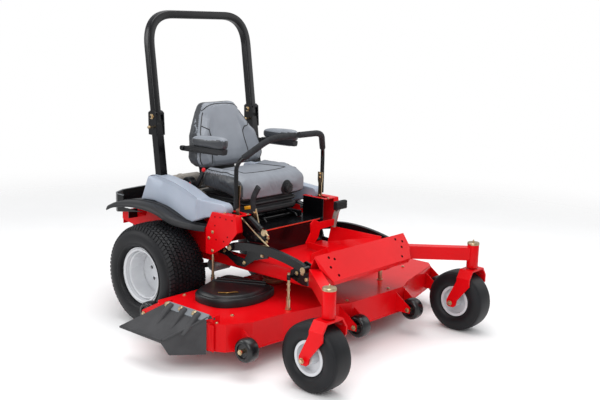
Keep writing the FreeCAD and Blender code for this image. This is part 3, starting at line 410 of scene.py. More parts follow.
def bent(points, radius, steps=7):
    """Straight runs between (x, forward, up) points in mm, each corner c rounded as (1-t)^2 a + 2t(1-t) c +
    t^2 b, where a and b are that many mm before and after it."""
    p = at(*np.array(points, float).T)
    back, on = p[:-2] - p[1:-1], p[2:] - p[1:-1]
    long_back, long_on = (np.linalg.norm(v, axis=1, keepdims=True) for v in (back, on))
    reach = np.minimum(radius * 0.001, np.minimum(long_back, long_on) * 0.48)
    a, b = p[1:-1] + back / long_back * reach, p[1:-1] + on / long_on * reach
    t = np.linspace(0, 1, steps)[None, :, None]
    arcs = (1 - t) ** 2 * a[:, None] + 2 * t * (1 - t) * p[1:-1, None] + t ** 2 * b[:, None]
    return np.vstack([p[:1], arcs.reshape(-1, 3), p[-1:]])


def round_box(width, height, corner, steps=5):
    """The outline of a rectangle with round corners: corner centre + corner (cos t, sin t)."""
    t = np.linspace(0, np.pi / 2, steps)
    quarter = np.arange(4)[:, None] * np.pi / 2 + t
    middle = np.array([(1, 1), (-1, 1), (-1, -1), (1, -1)]) * [width / 2 - corner, height / 2 - corner]
    return (middle[:, None] + corner * np.stack([np.cos(quarter), np.sin(quarter)], -1)).reshape(-1, 2)


def disc(radius, steps=14):
    """The outline of a circle."""
    t = np.linspace(0, 2 * np.pi, steps, endpoint=False)
    return radius * np.stack([np.cos(t), np.sin(t)], -1)


lean = (HOOP_TOP[0] - HINGE[0]) / (HOOP_TOP[1] - HINGE[1])
foot = (HINGE[0] - 28 * lean, HINGE[1] - 28)
hoop_line = bent([(-ROPS_X, *foot), (-ROPS_X, *HOOP_TOP), (ROPS_X, *HOOP_TOP), (ROPS_X, *foot)], 190, 16)
hoop = piece("roll_bar_hoop", [sweep(hoop_line, round_box(49, 49, 9), at(0, 1, 0) - at(0, 0, 0))],
             powder_coat_black, "rops_hoop", crease=60)
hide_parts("rops_hoop")
for name, side in SIDES.items():
    bolts = [heads([(side * ROPS_X + end * 33.4, *HINGE)], (end, 0, 0), 22, 11) for end in (-1, 1)]
    pin = (side * ROPS_X, HINGE[0] + 4, HINGE[1] - 62)
    lock = sweep(at(pin[0] + np.array([-44, -38, 36, 44]), *pin[1:]), disc(6), (0, 0, 1))
    knob = turned([(-66, 0), (-66, 7), (-60, 10), (-50, 10), (-44, 7), (-44, 0)], pin, 0, 20)
    piece(f"hinge_bolts_{name}", bolts + [lock, knob], zinc_yellow, "chassis")
    piece(f"hinge_block_{name}",
          [sweep(at(side * ROPS_X, HINGE[0] + np.array([40, 30]), HINGE[1] + np.array([20, 22])),
                 round_box(46, 14, 3), (1, 0, 0))], powder_coat_black, "chassis")

# ---- Side covers ---------------------------------------------------------------------------------
# Rotationally moulded polyethylene shells, blue-grey through and through, bolted beside the seat. They are
# hollow with a smooth, slightly waxy face and generous rounds. The front third is set in behind a crease.
moulded_grey = finish("rotomoulded_blue_grey", "#9AA3B2", "#A5AEBC", 220, 1.3, 0.03, 0.4, 0.04,
                      **{"Subsurface Weight": 0.03})
COVER_TOP = np.array([(-246, 706), (-186, 848), (-150, 862), (-90, 861), (-30, 856), (60, 842), (142, 820),
                      (200, 798), (262, 772), (428, 763), (443, 752), (452, 738)])
COVER_LOW = np.array([(-246, 700), (-129, 706), (0, 688), (85, 655), (130, 630), (160, 618), (222, 634),
                      (300, 668), (418, 690), (443, 704), (452, 718)])
COVER_OUT = np.array([(-246, 454), (-100, 460), (100, 463), (240, 460), (252, 458), (262, 446), (400, 432),
                      (437, 426), (452, 414)])


def squared(steps, power):
    """A circle pushed out towards a square: cos and sin, each raised to 2 / power with its sign kept."""
    t = np.linspace(0, 2 * np.pi, steps, endpoint=False)
    return [np.sign(w) * np.abs(w) ** (2 / power) for w in (np.cos(t), np.sin(t))]


def cover(side):
    """Rounded oblong rings across the cover, from its rear to its front, between its top, low and outer
    lines."""
    f = np.unique(np.concatenate([np.linspace(-246, 452, 70), [-240, -232, 250, 256, 264, 272, 447]]))
    top, low, out = (np.interp(f, line[:, 0], line[:, 1])[:, None]
                     for line in (COVER_TOP, COVER_LOW, COVER_OUT))
    c, s = squared(120, 12)
    rise = (top + low) / 2 + s * (top - low) / 2
    crease = 826 - 0.3 * (f[:, None] + 120)
    step = np.clip((rise - crease) / 22, 0, 1) * np.clip((250 - f[:, None]) / 12, 0, 1)
    x = (out + 360) / 2 + c * (out - 360) / 2 - 16 * step * (c > 0.85)
    return stacked(at(side * x, f[:, None], rise))


for name, side in SIDES.items():
    shell = piece(f"side_shell_{name}", [cover(side)], moulded_grey, "chassis", crease=50)
    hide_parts(f"side_cover_{name}")

# ---- Fender trims --------------------------------------------------------------------------------
# Black polypropylene mudguards, injection moulded, that flare over the drive tyres with a rolled lip.
moulded_black = finish("moulded_black_polypropylene", "#131417", "#1C1D20", 130, 1.0, 0.03, 0.46, 0.06,
                       **{"Specular IOR Level": 0.38})
TRIM_LINE = [(-452, 640), (-380, 668), (-240, 692), (-110, 697), (0, 688), (90, 664), (170, 636), (240, 620),
             (316, 618)]
trim_rows = curve(TRIM_LINE, 7)
taper = np.interp(trim_rows[:, :1], [90, 130, 180, 240, 316], [1, 0.96, 0.82, 0.6, 0.46])
trim_face = curve([(362, -3), (362, 4), (440, 7), (520, 6), (548, 3), (562, -6), (568, -18), (568.5, -27),
                   (564, -27), (562, -16), (555, -8), (540, -3), (500, 0), (430, 0)], 2, closed=True)
ridge = round_box(9, 5, 2.4, 3) + [492, 8]
trims = [stacked(at(side * (362 + (face[None, :, 0] - 362) * taper), trim_rows[:, :1],
                    trim_rows[:, 1:] + face[None, :, 1])) for side in SIDES.values()
         for face in (trim_face, ridge)]
mudguards = piece("mudguards", trims, moulded_black, "chassis", crease=50)
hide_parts("fender_trims")

# ---- Seat ----------------------------------------------------------------------------------------
# Cushion, backrest and arm pads are polyurethane foam under a stretched vinyl skin with a fine leather
# grain, in two greys, welted with black piping. The skin swells a little between its seams.
VINYL_GRAIN = 2.2


def vinyl(name, dark, light, roughness):
    """Grained vinyl: cells of a few mm pressed into the skin, and a soft drift of shade over a hand's
    width."""
    made = bpy.data.materials.new(name)
    made.use_nodes = True
    tree = made.node_tree
    tree.nodes.clear()
    place = add(tree, "TexCoord", {})
    cloud = add(tree, "TexNoise", {"Scale": 9.0, "Detail": 3.0}, {"Vector": (place, "Object")})
    shade = add(tree, "ValToRGB", {}, {"Fac": (cloud, "Fac")})
    for stop, position, code in zip(shade.color_ramp.elements, (0.3, 0.7), (dark, light)):
        stop.position, stop.color = position, srgb(code)
    cells = add(tree, "TexVoronoi", {"Scale": 1000 / VINYL_GRAIN}, {"Vector": (place, "Object")})
    relief = add(tree, "Bump", {"Distance": 0.0002, "Strength": 0.6}, {"Height": (cells, "Distance")})
    gloss = add(tree, "MapRange", {"To Min": roughness - 0.06, "To Max": roughness + 0.06},
                {"Value": (cloud, "Fac")})
    surface = add(tree, "BsdfPrincipled", {"Sheen Weight": 0.05}, {"Base Color": (shade, "Color"),
                                                                   "Roughness": (gloss, "Result"),
                                                                   "Normal": (relief, "Normal")})
    add(tree, "OutputMaterial", {}, {"Surface": (surface, "BSDF")})
    return made


vinyl_light = vinyl("grained_vinyl_light_grey", "#7A7F87", "#858A92", 0.44)
vinyl_dark = vinyl("grained_vinyl_charcoal", "#2C2F33", "#383B40", 0.36)
piping_black = finish("extruded_black_piping", "#0E0F11", "#17181A", 30, 1, 0.01, 0.42)
VOXEL = 0.006


def evaluated_mesh(thing):
    """The mesh that an object's modifiers make."""
    scene.view_layers[0].update()
    graph = bpy.context.evaluated_depsgraph_get()
    return bpy.data.meshes.new_from_object(thing.evaluated_get(graph))


def stuffed(pad, swell):
    """Lets a pad's skin swell: an even skin of small squares, air pressure in a cloth for 20 frames, and
    then no point moved by more than swell mm."""
    skin = pad.modifiers.new("skin", "REMESH")
    skin.mode, skin.voxel_size = "VOXEL", VOXEL
    pad.data = evaluated_mesh(pad)
    pad.modifiers.clear()
    rest = np.zeros(len(pad.data.vertices) * 3)
    pad.data.vertices.foreach_get("co", rest)
    cloth = pad.modifiers.new("foam", "CLOTH")
    cloth.settings.use_pressure = True
    cloth.settings.uniform_pressure_force = 4.0
    cloth.settings.effector_weights.gravity = 0.0
    for moment in range(1, 21):
        scene.frame_set(moment)
    swollen = evaluated_mesh(pad)
    moved = np.zeros_like(rest)
    swollen.vertices.foreach_get("co", moved)
    shift = (moved - rest).reshape(-1, 3)
    far = np.linalg.norm(shift, axis=1, keepdims=True)
    shift *= np.minimum(1, swell * 0.001 / np.maximum(far, 1e-9))
    pad.modifiers.clear()
    pad.data.vertices.foreach_set("co", rest + shift.ravel())
    scene.frame_set(1)
    smooth = pad.modifiers.new("smooth", "SUBSURF")
    smooth.levels = smooth.render_levels = 1
    pad.data.polygons.foreach_set("use_smooth", np.ones(len(pad.data.polygons), bool))
    pad.data.update()


def two_tone(pad, second, is_dark):
    """Gives the faces that is_dark(x, forward, up, facing forward, facing up) picks the second vinyl."""
    pad.data.materials.append(second)
    count = len(pad.data.polygons)
    middle, facing = np.zeros(count * 3), np.zeros(count * 3)
    pad.data.polygons.foreach_get("center", middle)
    pad.data.polygons.foreach_get("normal", facing)
    middle, facing = (middle.reshape(-1, 3) - AXLE) * 1000, facing.reshape(-1, 3)
    dark = is_dark(middle[:, 0], -middle[:, 1], middle[:, 2], -facing[:, 1], facing[:, 2])
    pad.data.polygons.foreach_set("material_index", dark.astype(np.int32))
    pad.data.update()


def welt(pad, points, towards, radius, steps=8):
    """Piping along a smooth line through (x, forward, up) points, each dropped onto the pad's skin along a
    direction."""
    line = at(*curve(points, steps).T)
    shape = evaluated_mesh(pad)
    tree = bvhtree.BVHTree.FromPolygons([v.co for v in shape.vertices],
                                        [list(p.vertices) for p in shape.polygons])
    way = Vector((towards[0], -towards[1], towards[2])).normalized()
    hits = [tree.ray_cast(Vector(p) - way * 0.2, way)[0] for p in line]
    kept = np.array([list(h) for h in hits if h is not None])
    across_line = (0.31, 0.42, 0.85) if abs(way.z) > 0.7 else (way.x + 0.1, way.y, way.z)
    return sweep(kept, disc(radius, 8), across_line)


BACK_UP = np.array([893, 905, 930, 960, 1000, 1040, 1092, 1150, 1225, 1262, 1280, 1287])
BACK_WIDE = np.array([196, 240, 268, 280, 274, 263, 250, 214, 168, 144, 131, 112])
BACK_FRONT = np.array([42, 54, 60, 58, 50, 38, 22, 4, -20, -34, -43, -56])
BACK_REAR = np.array([8, -18, -34, -42, -50, -60, -76, -96, -116, -119, -112, -96])
BOLSTER = 26


def backrest():
    """Rounded oblong rings up the leaning backrest: middle + half width c, half depth s. The bolsters stand
    proud by BOLSTER times a smooth step from 0.56 to 0.8 of the half width, behind a groove at their
    seam."""
    up = np.concatenate([np.linspace(893, 930, 7)[:-1], np.linspace(930, 1262, 42)[:-1],
                         np.linspace(1262, 1287, 6)])
    wide, front, rear = (np.interp(up, BACK_UP, row)[:, None] for row in (BACK_WIDE, BACK_FRONT, BACK_REAR))
    c, s = squared(120, 5.5)
    step = np.clip((np.abs(c) - 0.56) / 0.24, 0, 1)
    proud = BOLSTER * step * step * (3 - 2 * step) - 7 * np.exp(-((np.abs(c) - 0.57) / 0.03) ** 2)
    fade_up, fade_down = np.clip((1210 - up[:, None]) / 110, 0, 1), np.clip((up[:, None] - 893) / 30, 0, 1)
    proud = proud * (s > 0.3) * fade_up * fade_down
    return stacked(at(c * wide, (front + rear) / 2 + s * (front - rear) / 2 + proud, up[:, None]))


def cushion():
    """Rounded oblong rings across the cushion from rear to front: a dished top between bolsters, an upright
    front that comes down as an apron, and small gathers, 3 mm sin(2 pi f / 24), along the bolsters' rear
    half."""
    f = np.concatenate([[74, 78, 86], np.linspace(98, 410, 44), [420, 430, 436, 440]])
    stations, heights = [74, 86, 120, 300, 384, 418, 434, 440], [850, 884, 898, 902, 900, 886, 868, 846]
    top = np.interp(f, stations, heights)[:, None]
    low = np.interp(f, [74, 90, 260, 400, 430, 440], [816, 794, 780, 750, 750, 764])[:, None]
    wide = np.interp(f, [74, 84, 110, 390, 430, 440], [232, 260, 276, 281, 276, 262])[:, None]
    c, s = squared(120, 6)
    wing = 22 * np.clip((np.abs(c) - 0.6) / 0.26, 0, 1) * np.clip((1 - np.abs(c)) / 0.06, 0, 1)
    lift = wing * (s > 0.2) * np.clip((410 - f[:, None]) / 110, 0, 1) - 3 * (s > 0.2)
    gather = 3 * np.sin(2 * np.pi * f[:, None] / 24) * (np.abs(c) > 0.9) * (s > -0.2)
    gather = gather * np.clip((280 - f[:, None]) / 60, 0, 1) * np.clip((f[:, None] - 100) / 30, 0, 1)
    return stacked(at(c * (wide + gather), f[:, None], (top + low) / 2 + s * (top - low) / 2 + lift))


back = piece("backrest", [backrest()], vinyl_light, "chassis", crease=80)
stuffed(back, 6)
two_tone(back, vinyl_dark,
         lambda x, f, z, ahead, up: (ahead < 0.1) | (np.abs(x) > np.interp(z, BACK_UP, BACK_WIDE) - 4))
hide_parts("seat_back")
squab = piece("seat_squab", [cushion()], vinyl_light, "chassis", crease=80)
stuffed(squab, 6)
two_tone(squab, vinyl_dark,
         lambda x, f, z, ahead, up: (np.abs(x) > 264) & (z < 894) | (ahead < -0.4) | (up < -0.5))
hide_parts("seat_cushion")

edge_up = np.linspace(925, 1225, 12)
edge_x = np.interp(edge_up, BACK_UP, BACK_WIDE)
BACK_SEAMS = [[(150, 1128), (136, 1090), (140, 1040), (152, 980), (160, 920)],
              [(196, 1150), (170, 1134), (150, 1128)]]
CROWN_SEAM = [(-160, 1230), (-112, 1262), (-60, 1272), (0, 1274), (60, 1272), (112, 1262), (160, 1230)]
SQUAB_SEAMS = [[(252, 110), (256, 200), (256, 300), (250, 380)], [(150, 100), (162, 180), (170, 280),
                                                                  (182, 350)]]
FRONT_SEAM = [(-182, 350), (-100, 366), (0, 370), (100, 366), (182, 350)]
back_lines = []
for side in SIDES.values():
    back_lines.append(welt(back, np.stack([side * (edge_x - 16), edge_up * 0 + 100, edge_up], -1),
                           (0, -1, 0), 3.2, 4))
    back_lines += [welt(back, [(side * x, 100, z) for x, z in seam], (0, -1, 0), 3.4) for seam in BACK_SEAMS]
back_lines.append(welt(back, [(x, 100, z) for x, z in CROWN_SEAM], (0, -1, 0), 3.0))
piece("backrest_piping", back_lines, piping_black, "chassis", crease=80)
squab_lines = []
for side in SIDES.values():
    squab_lines += [welt(squab, [(side * x, f, 1000) for x, f in seam], (0, 0, -1), 3.0)
                    for seam in SQUAB_SEAMS]
squab_lines.append(welt(squab, [(x, f, 1000) for x, f in FRONT_SEAM], (0, 0, -1), 3.0))
piece("squab_piping", squab_lines, piping_black, "chassis", crease=80)

ARM_X = 304


def arm_pad(side):
    """Rounded oblong rings along an arm pad, fuller at the front, with both ends drawn in by (1 -
    a^6)^0.4."""
    share = np.linspace(-1, 1, 36)
    shrink = (1 - share ** 6) ** 0.4
    c, s = squared(48, 3.2)
    half, depth = 30 * shrink[:, None] + 2, (33 + 5 * share[:, None]) * shrink[:, None] + 2
    rise = 1081 + 2 * share[:, None] + s * depth
    return stacked(at(side * ARM_X + c * half, (196 + 140 * share)[:, None], rise))


for name, side in SIDES.items():
    pad = piece(f"arm_pad_{name}", [arm_pad(side)], vinyl_dark, f"armrest_{name}", crease=80)
    stuffed(pad, 5)
    two_tone(pad, vinyl_light, lambda x, f, z, ahead, up: up > 0.35)
    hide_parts(f"armrest_{name}")

# ---- Arm pad bases -------------------------------------------------------------------------------
# Glass-filled nylon pans under the pads, moulded black, on a flat steel strap that pivots at the backrest.
for name, side in SIDES.items():
    plan = np.array([(276, 60), (282, 46), (326, 46), (332, 60), (334, 300), (326, 322), (282, 322),
                     (276, 300)])
    tray = stacked([at(side * (ARM_X + (plan[:, 0] - ARM_X) * share), plan[:, 1], z)
                    for z, share in ((1018, 0.5), (1022, 0.84), (1036, 1.0), (1050, 1.02))])
    strap = sweep(at(side * 314, [-38, -28, 60, 270], [1023, 1024, 1025, 1028]), round_box(10, 32, 3),
                  (1, 0, 0))
    pin = turned([(-side * 45, 0), (-side * 45, 9), (side * 18, 9), (side * 18, 15), (side * 25, 15),
                  (side * 25, 0)], (side * ARM_X, -28, 1026), 0, 20)
    piece(f"arm_base_{name}", [tray, strap, pin], moulded_black, f"armrest_{name}",
          crease=40, edge=1.5)

# ---- Seat base -----------------------------------------------------------------------------------
# A scissor suspension under a black rubber bellows, on slide rails. The height knob is at the front, and
# the belt's red release button and buckle are beside the cushion.
bellows_rubber = finish("pleated_bellows_rubber", "#141517", "#1E1F22", 70, 1.4, 0.03, 0.5, 0.05)
signal_red = finish("moulded_signal_red", "#D8121A", "#E5202A", 40, 1, 0.005, 0.3)
signal_amber = finish("moulded_signal_amber", "#E69A12", "#F2AC1E", 40, 1, 0.005, 0.34)


def oblong(half_x, rear, front, corner, up, steps=5):
    """One ring of a stacked form: a rectangle with round corners, level at that height."""
    ring = round_box(2 * half_x, front - rear, corner, steps)
    return at(ring[:, 0], ring[:, 1] + (front + rear) / 2, up)


pleat = np.linspace(0, 4 * np.pi, 41)
bellows = stacked([oblong(214 + 9 * math.cos(a), 20 - 9 * math.cos(a), 424 + 9 * math.cos(a), 46, z)
                   for z, a in zip(np.linspace(694, 764, 41), pleat)])
pan_rim = stacked([oblong(226 - i, 4 + i, 432 - i, 50, z)
                   for z, i in ((670, 8), (674, 2), (682, 0), (690, 2), (694, 8))])
tray = stacked([oblong(150 - i, 60 + i, 330 - i, 12, z)
                for z, i in ((602, 0), (612, 0), (616, 6), (672, 6))])
spine = stacked([at([-150, 150, 150, -150], f + np.array([0, 0, -7, -7]), z)
                 for f, z in ((-20, 778), (-50, 830), (-64, 900), (-74, 1000), (-92, 1090))])
seat_base = piece("seat_suspension", [bellows, pan_rim, tray, spine], bellows_rubber, "chassis",
                  crease=30)
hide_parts("seat_base")
slides = [sweep(at(x, [20, 440], 622), round_box(26, 34, 3), (1, 0, 0)) for x in (-232, 232)]
slides += [sweep(at([-262, 262], f, 612), round_box(18, 18, 3), (0, 1, 0)) for f in (80, 380)]
slides += [sweep(bent([(x, 396, 640), (x, 470, 640), (x, 486, 622)], 20), disc(6), (1, 0, 0))
           for x in (-120, 150)]
slides += [sweep(at(x, np.array([f, 430 - f]), [624, 668]), round_box(7, 26, 3), (1, 0, 0))
           for x in (-204, -192, 192, 204) for f in ((30, 400) if abs(x) > 200 else (400, 30))]
slides += [sweep(at([-208, 208], f, z), disc(9), (0, 1, 0)) for f, z in ((34, 624), (402, 624), (402, 668))]
piece("seat_slides", slides, powder_coat_black, "chassis", crease=40)
coil = np.linspace(0, 14 * 2 * np.pi, 14 * 18)
spring_line = at(-20 + 170 * coil / coil[-1], 384 + 15 * np.cos(coil), 648 + 15 * np.sin(coil))
piece("seat_spring", [sweep(spring_line, disc(2.6, 6), (1, 0, 0)),
                      turned([(-60, 0), (-60, 13), (30, 13), (36, 8), (190, 8), (190, 0)], (-60, 384, 648),
                             0, 20)], powder_coat_black, "chassis", crease=40)
knob_profile = [(0, 0), (0, 44), (5, 46), (8, 43), (9, 33), (12, 29), (30, 27), (34, 24), (35, 13), (32, 11),
                (32, 0)]
flutes = [sweep(at(100 + 28.5 * math.cos(a), [440, 466], 800 + 28.5 * math.sin(a)), disc(3.2, 8), (1, 0, 0))
          for a in np.linspace(0, 2 * np.pi, 16, endpoint=False)]
piece("height_knob", [turned([(-a, r) for a, r in knob_profile], (100, 434, 800), 1, 36)] + flutes,
      moulded_black, "chassis", crease=28)
buckle = sweep(bent([(-280, 44, 776), (-288, 84, 836), (-284, 118, 894)], 30), round_box(26, 12, 4),
               (0, 1, 0.4))
piece("belt_buckle_stalk", [buckle], moulded_black, "chassis", crease=40)
button = turned([(0, 0), (0, 12), (-5, 13), (-9, 11), (-11, 6), (-11, 0)], (-288, 122, 908), 1, 24)
rivet = turned([(-3, 0), (-3, 8), (3, 8), (3, 0)], (-306, 20, 812), 0, 20)
piece("belt_button", [button, rivet], signal_red, "chassis")
recliner = bent([(-236, 50, 744), (-262, 66, 752), (-268, 104, 748)], 20)
slider = bent([(-236, 424, 716), (-232, 446, 722), (-214, 456, 722)], 12)
trip_levers = [sweep(recliner, round_box(20, 26, 6), (0, 0, 1)), sweep(slider, round_box(20, 12, 4),
                                                                       (0, 0, 1))]
piece("seat_trip_levers", trip_levers, signal_amber, "chassis")
belt_reels = [turned([(-26, 0), (-26, 40), (-20, 46), (20, 46), (26, 40), (26, 0)], (x, -18, 800), 0, 36)
              for x in (-272, 272)]
piece("belt_reel", belt_reels, moulded_black, "chassis")

# ---- Steering levers -----------------------------------------------------------------------------
# Bent steel tube, painted black, bolted to yellow zinc straps with slots for setting them. The driver holds
# closed-cell foam sleeves, pushed on over the bend.
grip_foam = finish("closed_cell_grip_foam", "#232426", "#2D2E31", 24, 1.1, 0.12, 0.8, 0.05,
                   **{"Specular IOR Level": 0.25})
for name, side in SIDES.items():
    x, f = side * 374, 488
    route = [(x, f, 742), (x, f, 1000), (side * 222, 600, 1138), (side * 18, 602, 1140)]
    tube = sweep(bent(route, 46, 10), disc(12.5, 16), at(0.3, 1, 0) - at(0, 0, 0))
    lever = piece(f"lever_tube_{name}", [tube], powder_coat_black, f"control_lever_{name}",
                  crease=60)
    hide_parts(f"control_lever_{name}")
    bend = np.array(route, float)
    start = bend[1] + (bend[2] - bend[1]) * 0.2
    foam = bent([start, bend[2], bend[3] + [side * -2, 0, 0]], 62, 12)
    grip = sweep(foam, disc(18.2, 20), at(0.3, 1, 0) - at(0, 0, 0))
    piece(f"foam_grip_{name}", [grip], grip_foam, f"control_lever_{name}", crease=60, edge=2)
    outline = np.array([(f - 13, 676), (f + 13, 676), (f + 13, 800), (f + 19, 824), (f + 19, 872),
                        (f - 19, 872), (f - 19, 824), (f - 13, 800)], float)
    strap = stacked([at(x - side * a, outline[:, 0], outline[:, 1]) for a in (13, 19)])
    bolts = heads([(x - side * 19, f - 4, z) for z in (724, 838, 860)] + [(x - side * 19, f + 8, 700)],
                  (-side, 0, 0), 13, 6)
    pivot = turned([(-side * 51, 0), (-side * 51, 9), (-side * 12, 9), (-side * 12, 0)], (x, f, 690), 0, 24)
    piece(f"lever_strap_{name}", [strap, bolts, pivot], zinc_yellow, f"control_lever_{name}",
          crease=35)

# ---- Engine --------------------------------------------------------------------------------------
# An air-cooled engine lies low behind the seat. Its fan shroud is a die-cast beige-grey housing, with
# ribbed cylinder heads at both sides, a black intake screen on top and a red oil cap.
shroud_metal = finish("die_cast_beige_grey", "#8B857E", "#9C968E", 80, 2.5, 0.05, 0.5, 0.06, Metallic=0.3)
cast_black = finish("sand_cast_black_iron", "#1B1B1C", "#272728", 50, 2.0, 0.12, 0.6, 0.06)
block = stacked([oblong(196 - i, -496 + i, -104 - i, 40, z) for z, i in ((480, 26), (500, 20), (600, 20),
                                                                         (612, 10))])
shroud = stacked([oblong(170 - i, -480 + i, -120 - i, 70 - i * 0.5, z, 8)
                  for z, i in ((606, 0), (680, 0), (704, 6), (716, 18), (720, 40))])
fins = [stacked([at(end * np.array([166, 199, 199, 166]), [-384, -384, -216, -216], up)
                 for up in (z, z + 4)]) for end in (-1, 1) for z in range(560, 690, 12)]
engine = piece("engine_block", [block] + fins, cast_black, "chassis", crease=30)
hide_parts("engine")
piece("fan_shroud", [shroud], shroud_metal, "chassis", crease=50)
screen = turned([(0, 0), (0, 112), (6, 116), (12, 112), (14, 96), (17, 92), (18, 0)], (0, -300, 720), 2, 48)
spoke = np.array([20, 106])
spokes = [sweep(at(np.cos(a) * spoke, -300 + np.sin(a) * spoke, 738), round_box(4, 3, 1, 2), (0, 0, 1))
          for a in np.linspace(0, 2 * np.pi, 18, endpoint=False)]
piece("intake_screen", [screen] + spokes, moulded_black, "chassis", crease=30)
piece("oil_cap", [turned([(0, 0), (0, 15), (12, 15), (16, 11), (16, 0)], (-128, -150, 712), 2, 20)],
      signal_red, "chassis")
canister = [(-112, 0), (-112, 40), (-106, 50), (-60, 51), (-58, 55), (-50, 55), (-48, 51), (84, 51),
            (92, 40), (92, 0)]
piece("air_cleaner", [turned(canister, (-130, -196, 778), 0, 40),
                      sweep(bent([(-90, -196, 760), (-60, -250, 742), (-40, -300, 734)], 30), disc(22, 16),
                            (0, 0.3, 1))], shroud_metal, "chassis", crease=35)
muffler = sweep(at(np.linspace(-130, 130, 2), -452, 560), round_box(96, 72, 30, 6), (0, 1, 0))
piece("silencer", [muffler], cast_black, "chassis", crease=40)

# ---- Drive pumps ---------------------------------------------------------------------------------
# Two hydraulic pumps hang between the rails ahead of the axle. Each is a ribbed pressure-die-cast aluminium
# housing with a black cooling fan on its shaft, and a pair of rubber hoses runs to its wheel motor.
cast_aluminium = finish("pressure_cast_aluminium", "#B4B6B8", "#C6C8CA", 70, 1.8, 0.06, 0.42, 0.06,
                        Metallic=0.6)
hose_rubber = finish("extruded_hose_rubber", "#0E0F11", "#17181A", 40, 1.2, 0.03, 0.5, 0.05)
PUMP_X, PUMP_FORWARD, PUMP_UP = 190, 170, 330
ribs = [(along, 44 if k % 2 else 38) for k, along in enumerate(range(-64, 66, 8))]
for name, side in SIDES.items():
    pump_x = side * PUMP_X
    fan = turned([(0, 0), (0, 62), (5, 64), (9, 62), (14, 20), (14, 0)],
                 (pump_x, PUMP_FORWARD, PUMP_UP + 54), 2, 30)
    housing = turned([(-70, 0), (-70, 36)] + ribs + [(70, 36), (70, 0)], (pump_x, PUMP_FORWARD, PUMP_UP), 0,
                     36)
    neck = turned([(0, 0), (0, 30), (44, 26), (50, 12), (54, 12), (54, 0)],
                  (pump_x, PUMP_FORWARD, PUMP_UP + 2), 2, 24)
    piece(f"pump_{name}", [housing, neck], cast_aluminium, "chassis", crease=30)
    hose = [sweep(bent([(side * 232, 150 - k * 40, 318), (side * 262, 60 - k * 30, 300),
                        (side * 330, 46 - k * 40, 318)], 60, 9), disc(11, 12), (0.1, 0.2, 1))
            for k in (0, 1)]
    piece(f"pump_fan_{name}", [fan] + hose, hose_rubber, "chassis", crease=35)

# ---- Floor, leg boxes and front beam details -----------------------------------------------------
# Zinc bolts and punched holes in the folded sheets, the holes drawn as dark discs of painted shade; a
# lighter red strip along the panel's top edge, which is a painted highlight on its fold; and rubber on the
# lift pedal.
rubber_black = finish("moulded_black_rubber", "#101113", "#191A1D", 40, 1.4, 0.05, 0.55, 0.06,
                      **{"Specular IOR Level": 0.35})
# Painted shade: near-black, unreflecting discs stand for the shadow inside each punched hole.
painted_hole_shade = finish("shadow_in_punched_hole", "#060607", "#0A0A0B", 20, 1, 0.0, 0.9,
                 **{"Specular IOR Level": 0.0})


def holes(places, facing, radius):
    """Round punched holes drawn as flat dark discs 0.6 mm thick at (x, forward, up) points; their dark is
    painted shade inside the holes.
    """
    return heads(places, facing, radius * 1.28, 0.6)


peak, low = np.array([1100, 585]), np.array([1192, 458])
slope = np.array([0, 127, 92]) / np.hypot(127, 92)
share = np.array([0.16, 0.26, 0.5, 0.84, 0.16, 0.3, 0.5, 0.84])
spread = np.array([-300, -262, -318, -286, 300, 352, 322, 286])
beam_places = np.stack([spread, peak[0] + share * (low[0] - peak[0]), peak[1] + share * (low[1] - peak[1])],
                       -1)
piece("beam_holes", [holes(beam_places, slope, 8.5)], painted_hole_shade, "chassis")
console_places = [(f, z) for f, z in ((398, 690), (440, 694), (486, 690), (536, 690), (398, 640), (408, 560),
                                      (470, 560), (500, 590))]
for name, side in SIDES.items():
    piece(f"leg_box_holes_{name}", [holes([(side * 450, f, z) for f, z in console_places], (side, 0, 0), 5)],
          painted_hole_shade, "chassis")
    piece(f"leg_box_bolts_{name}",
          [heads([(side * 450, f, z) for f, z in ((380, 600), (380, 490), (350, 560))], (side, 0, 0), 14, 6),
           heads([(side * 420, 448, 715), (side * 350, 560, 715)], (0, 0, 1), 12, 6)], zinc_yellow,
          "chassis")
# Painted highlight: a lighter red strip along the panel's top edge, where light catches the fold.
panel_edge_highlight_red = finish("painted_highlight_panel_edge", "#D8321E", "#E0402A", 60, 2, 0.0, 0.35)
piece("panel_edge_highlight", [sweep(at([-250, 290], 550.5, 596), round_box(7, 1.2, 0.5, 2), (0, 0, 1))], panel_edge_highlight_red,
      "chassis")
rib_rows = [sweep(at([304, 400], f, z), round_box(5, 5, 1.6, 3), (0, 0, 1))
            for f, z in ((672, 676), (672, 686), (672, 696), (672, 706))]
pad_block = stacked([at([302, 402, 402, 302], f, [664 + lip, 664 + lip, 716 - lip, 716 - lip])
                     for f, lip in ((646, 0), (650, 0), (666, 0), (671, 3))])
piece("pedal_rubber", rib_rows + [pad_block], rubber_black, "chassis", crease=40)
grey_arm = sweep(bent([(302, 652, 560), (314, 654, 640), (344, 656, 676)], 30), round_box(26, 20, 4),
                 (0, 1, 0))
piece("pedal_arm", [grey_arm], shroud_metal, "chassis", crease=40)

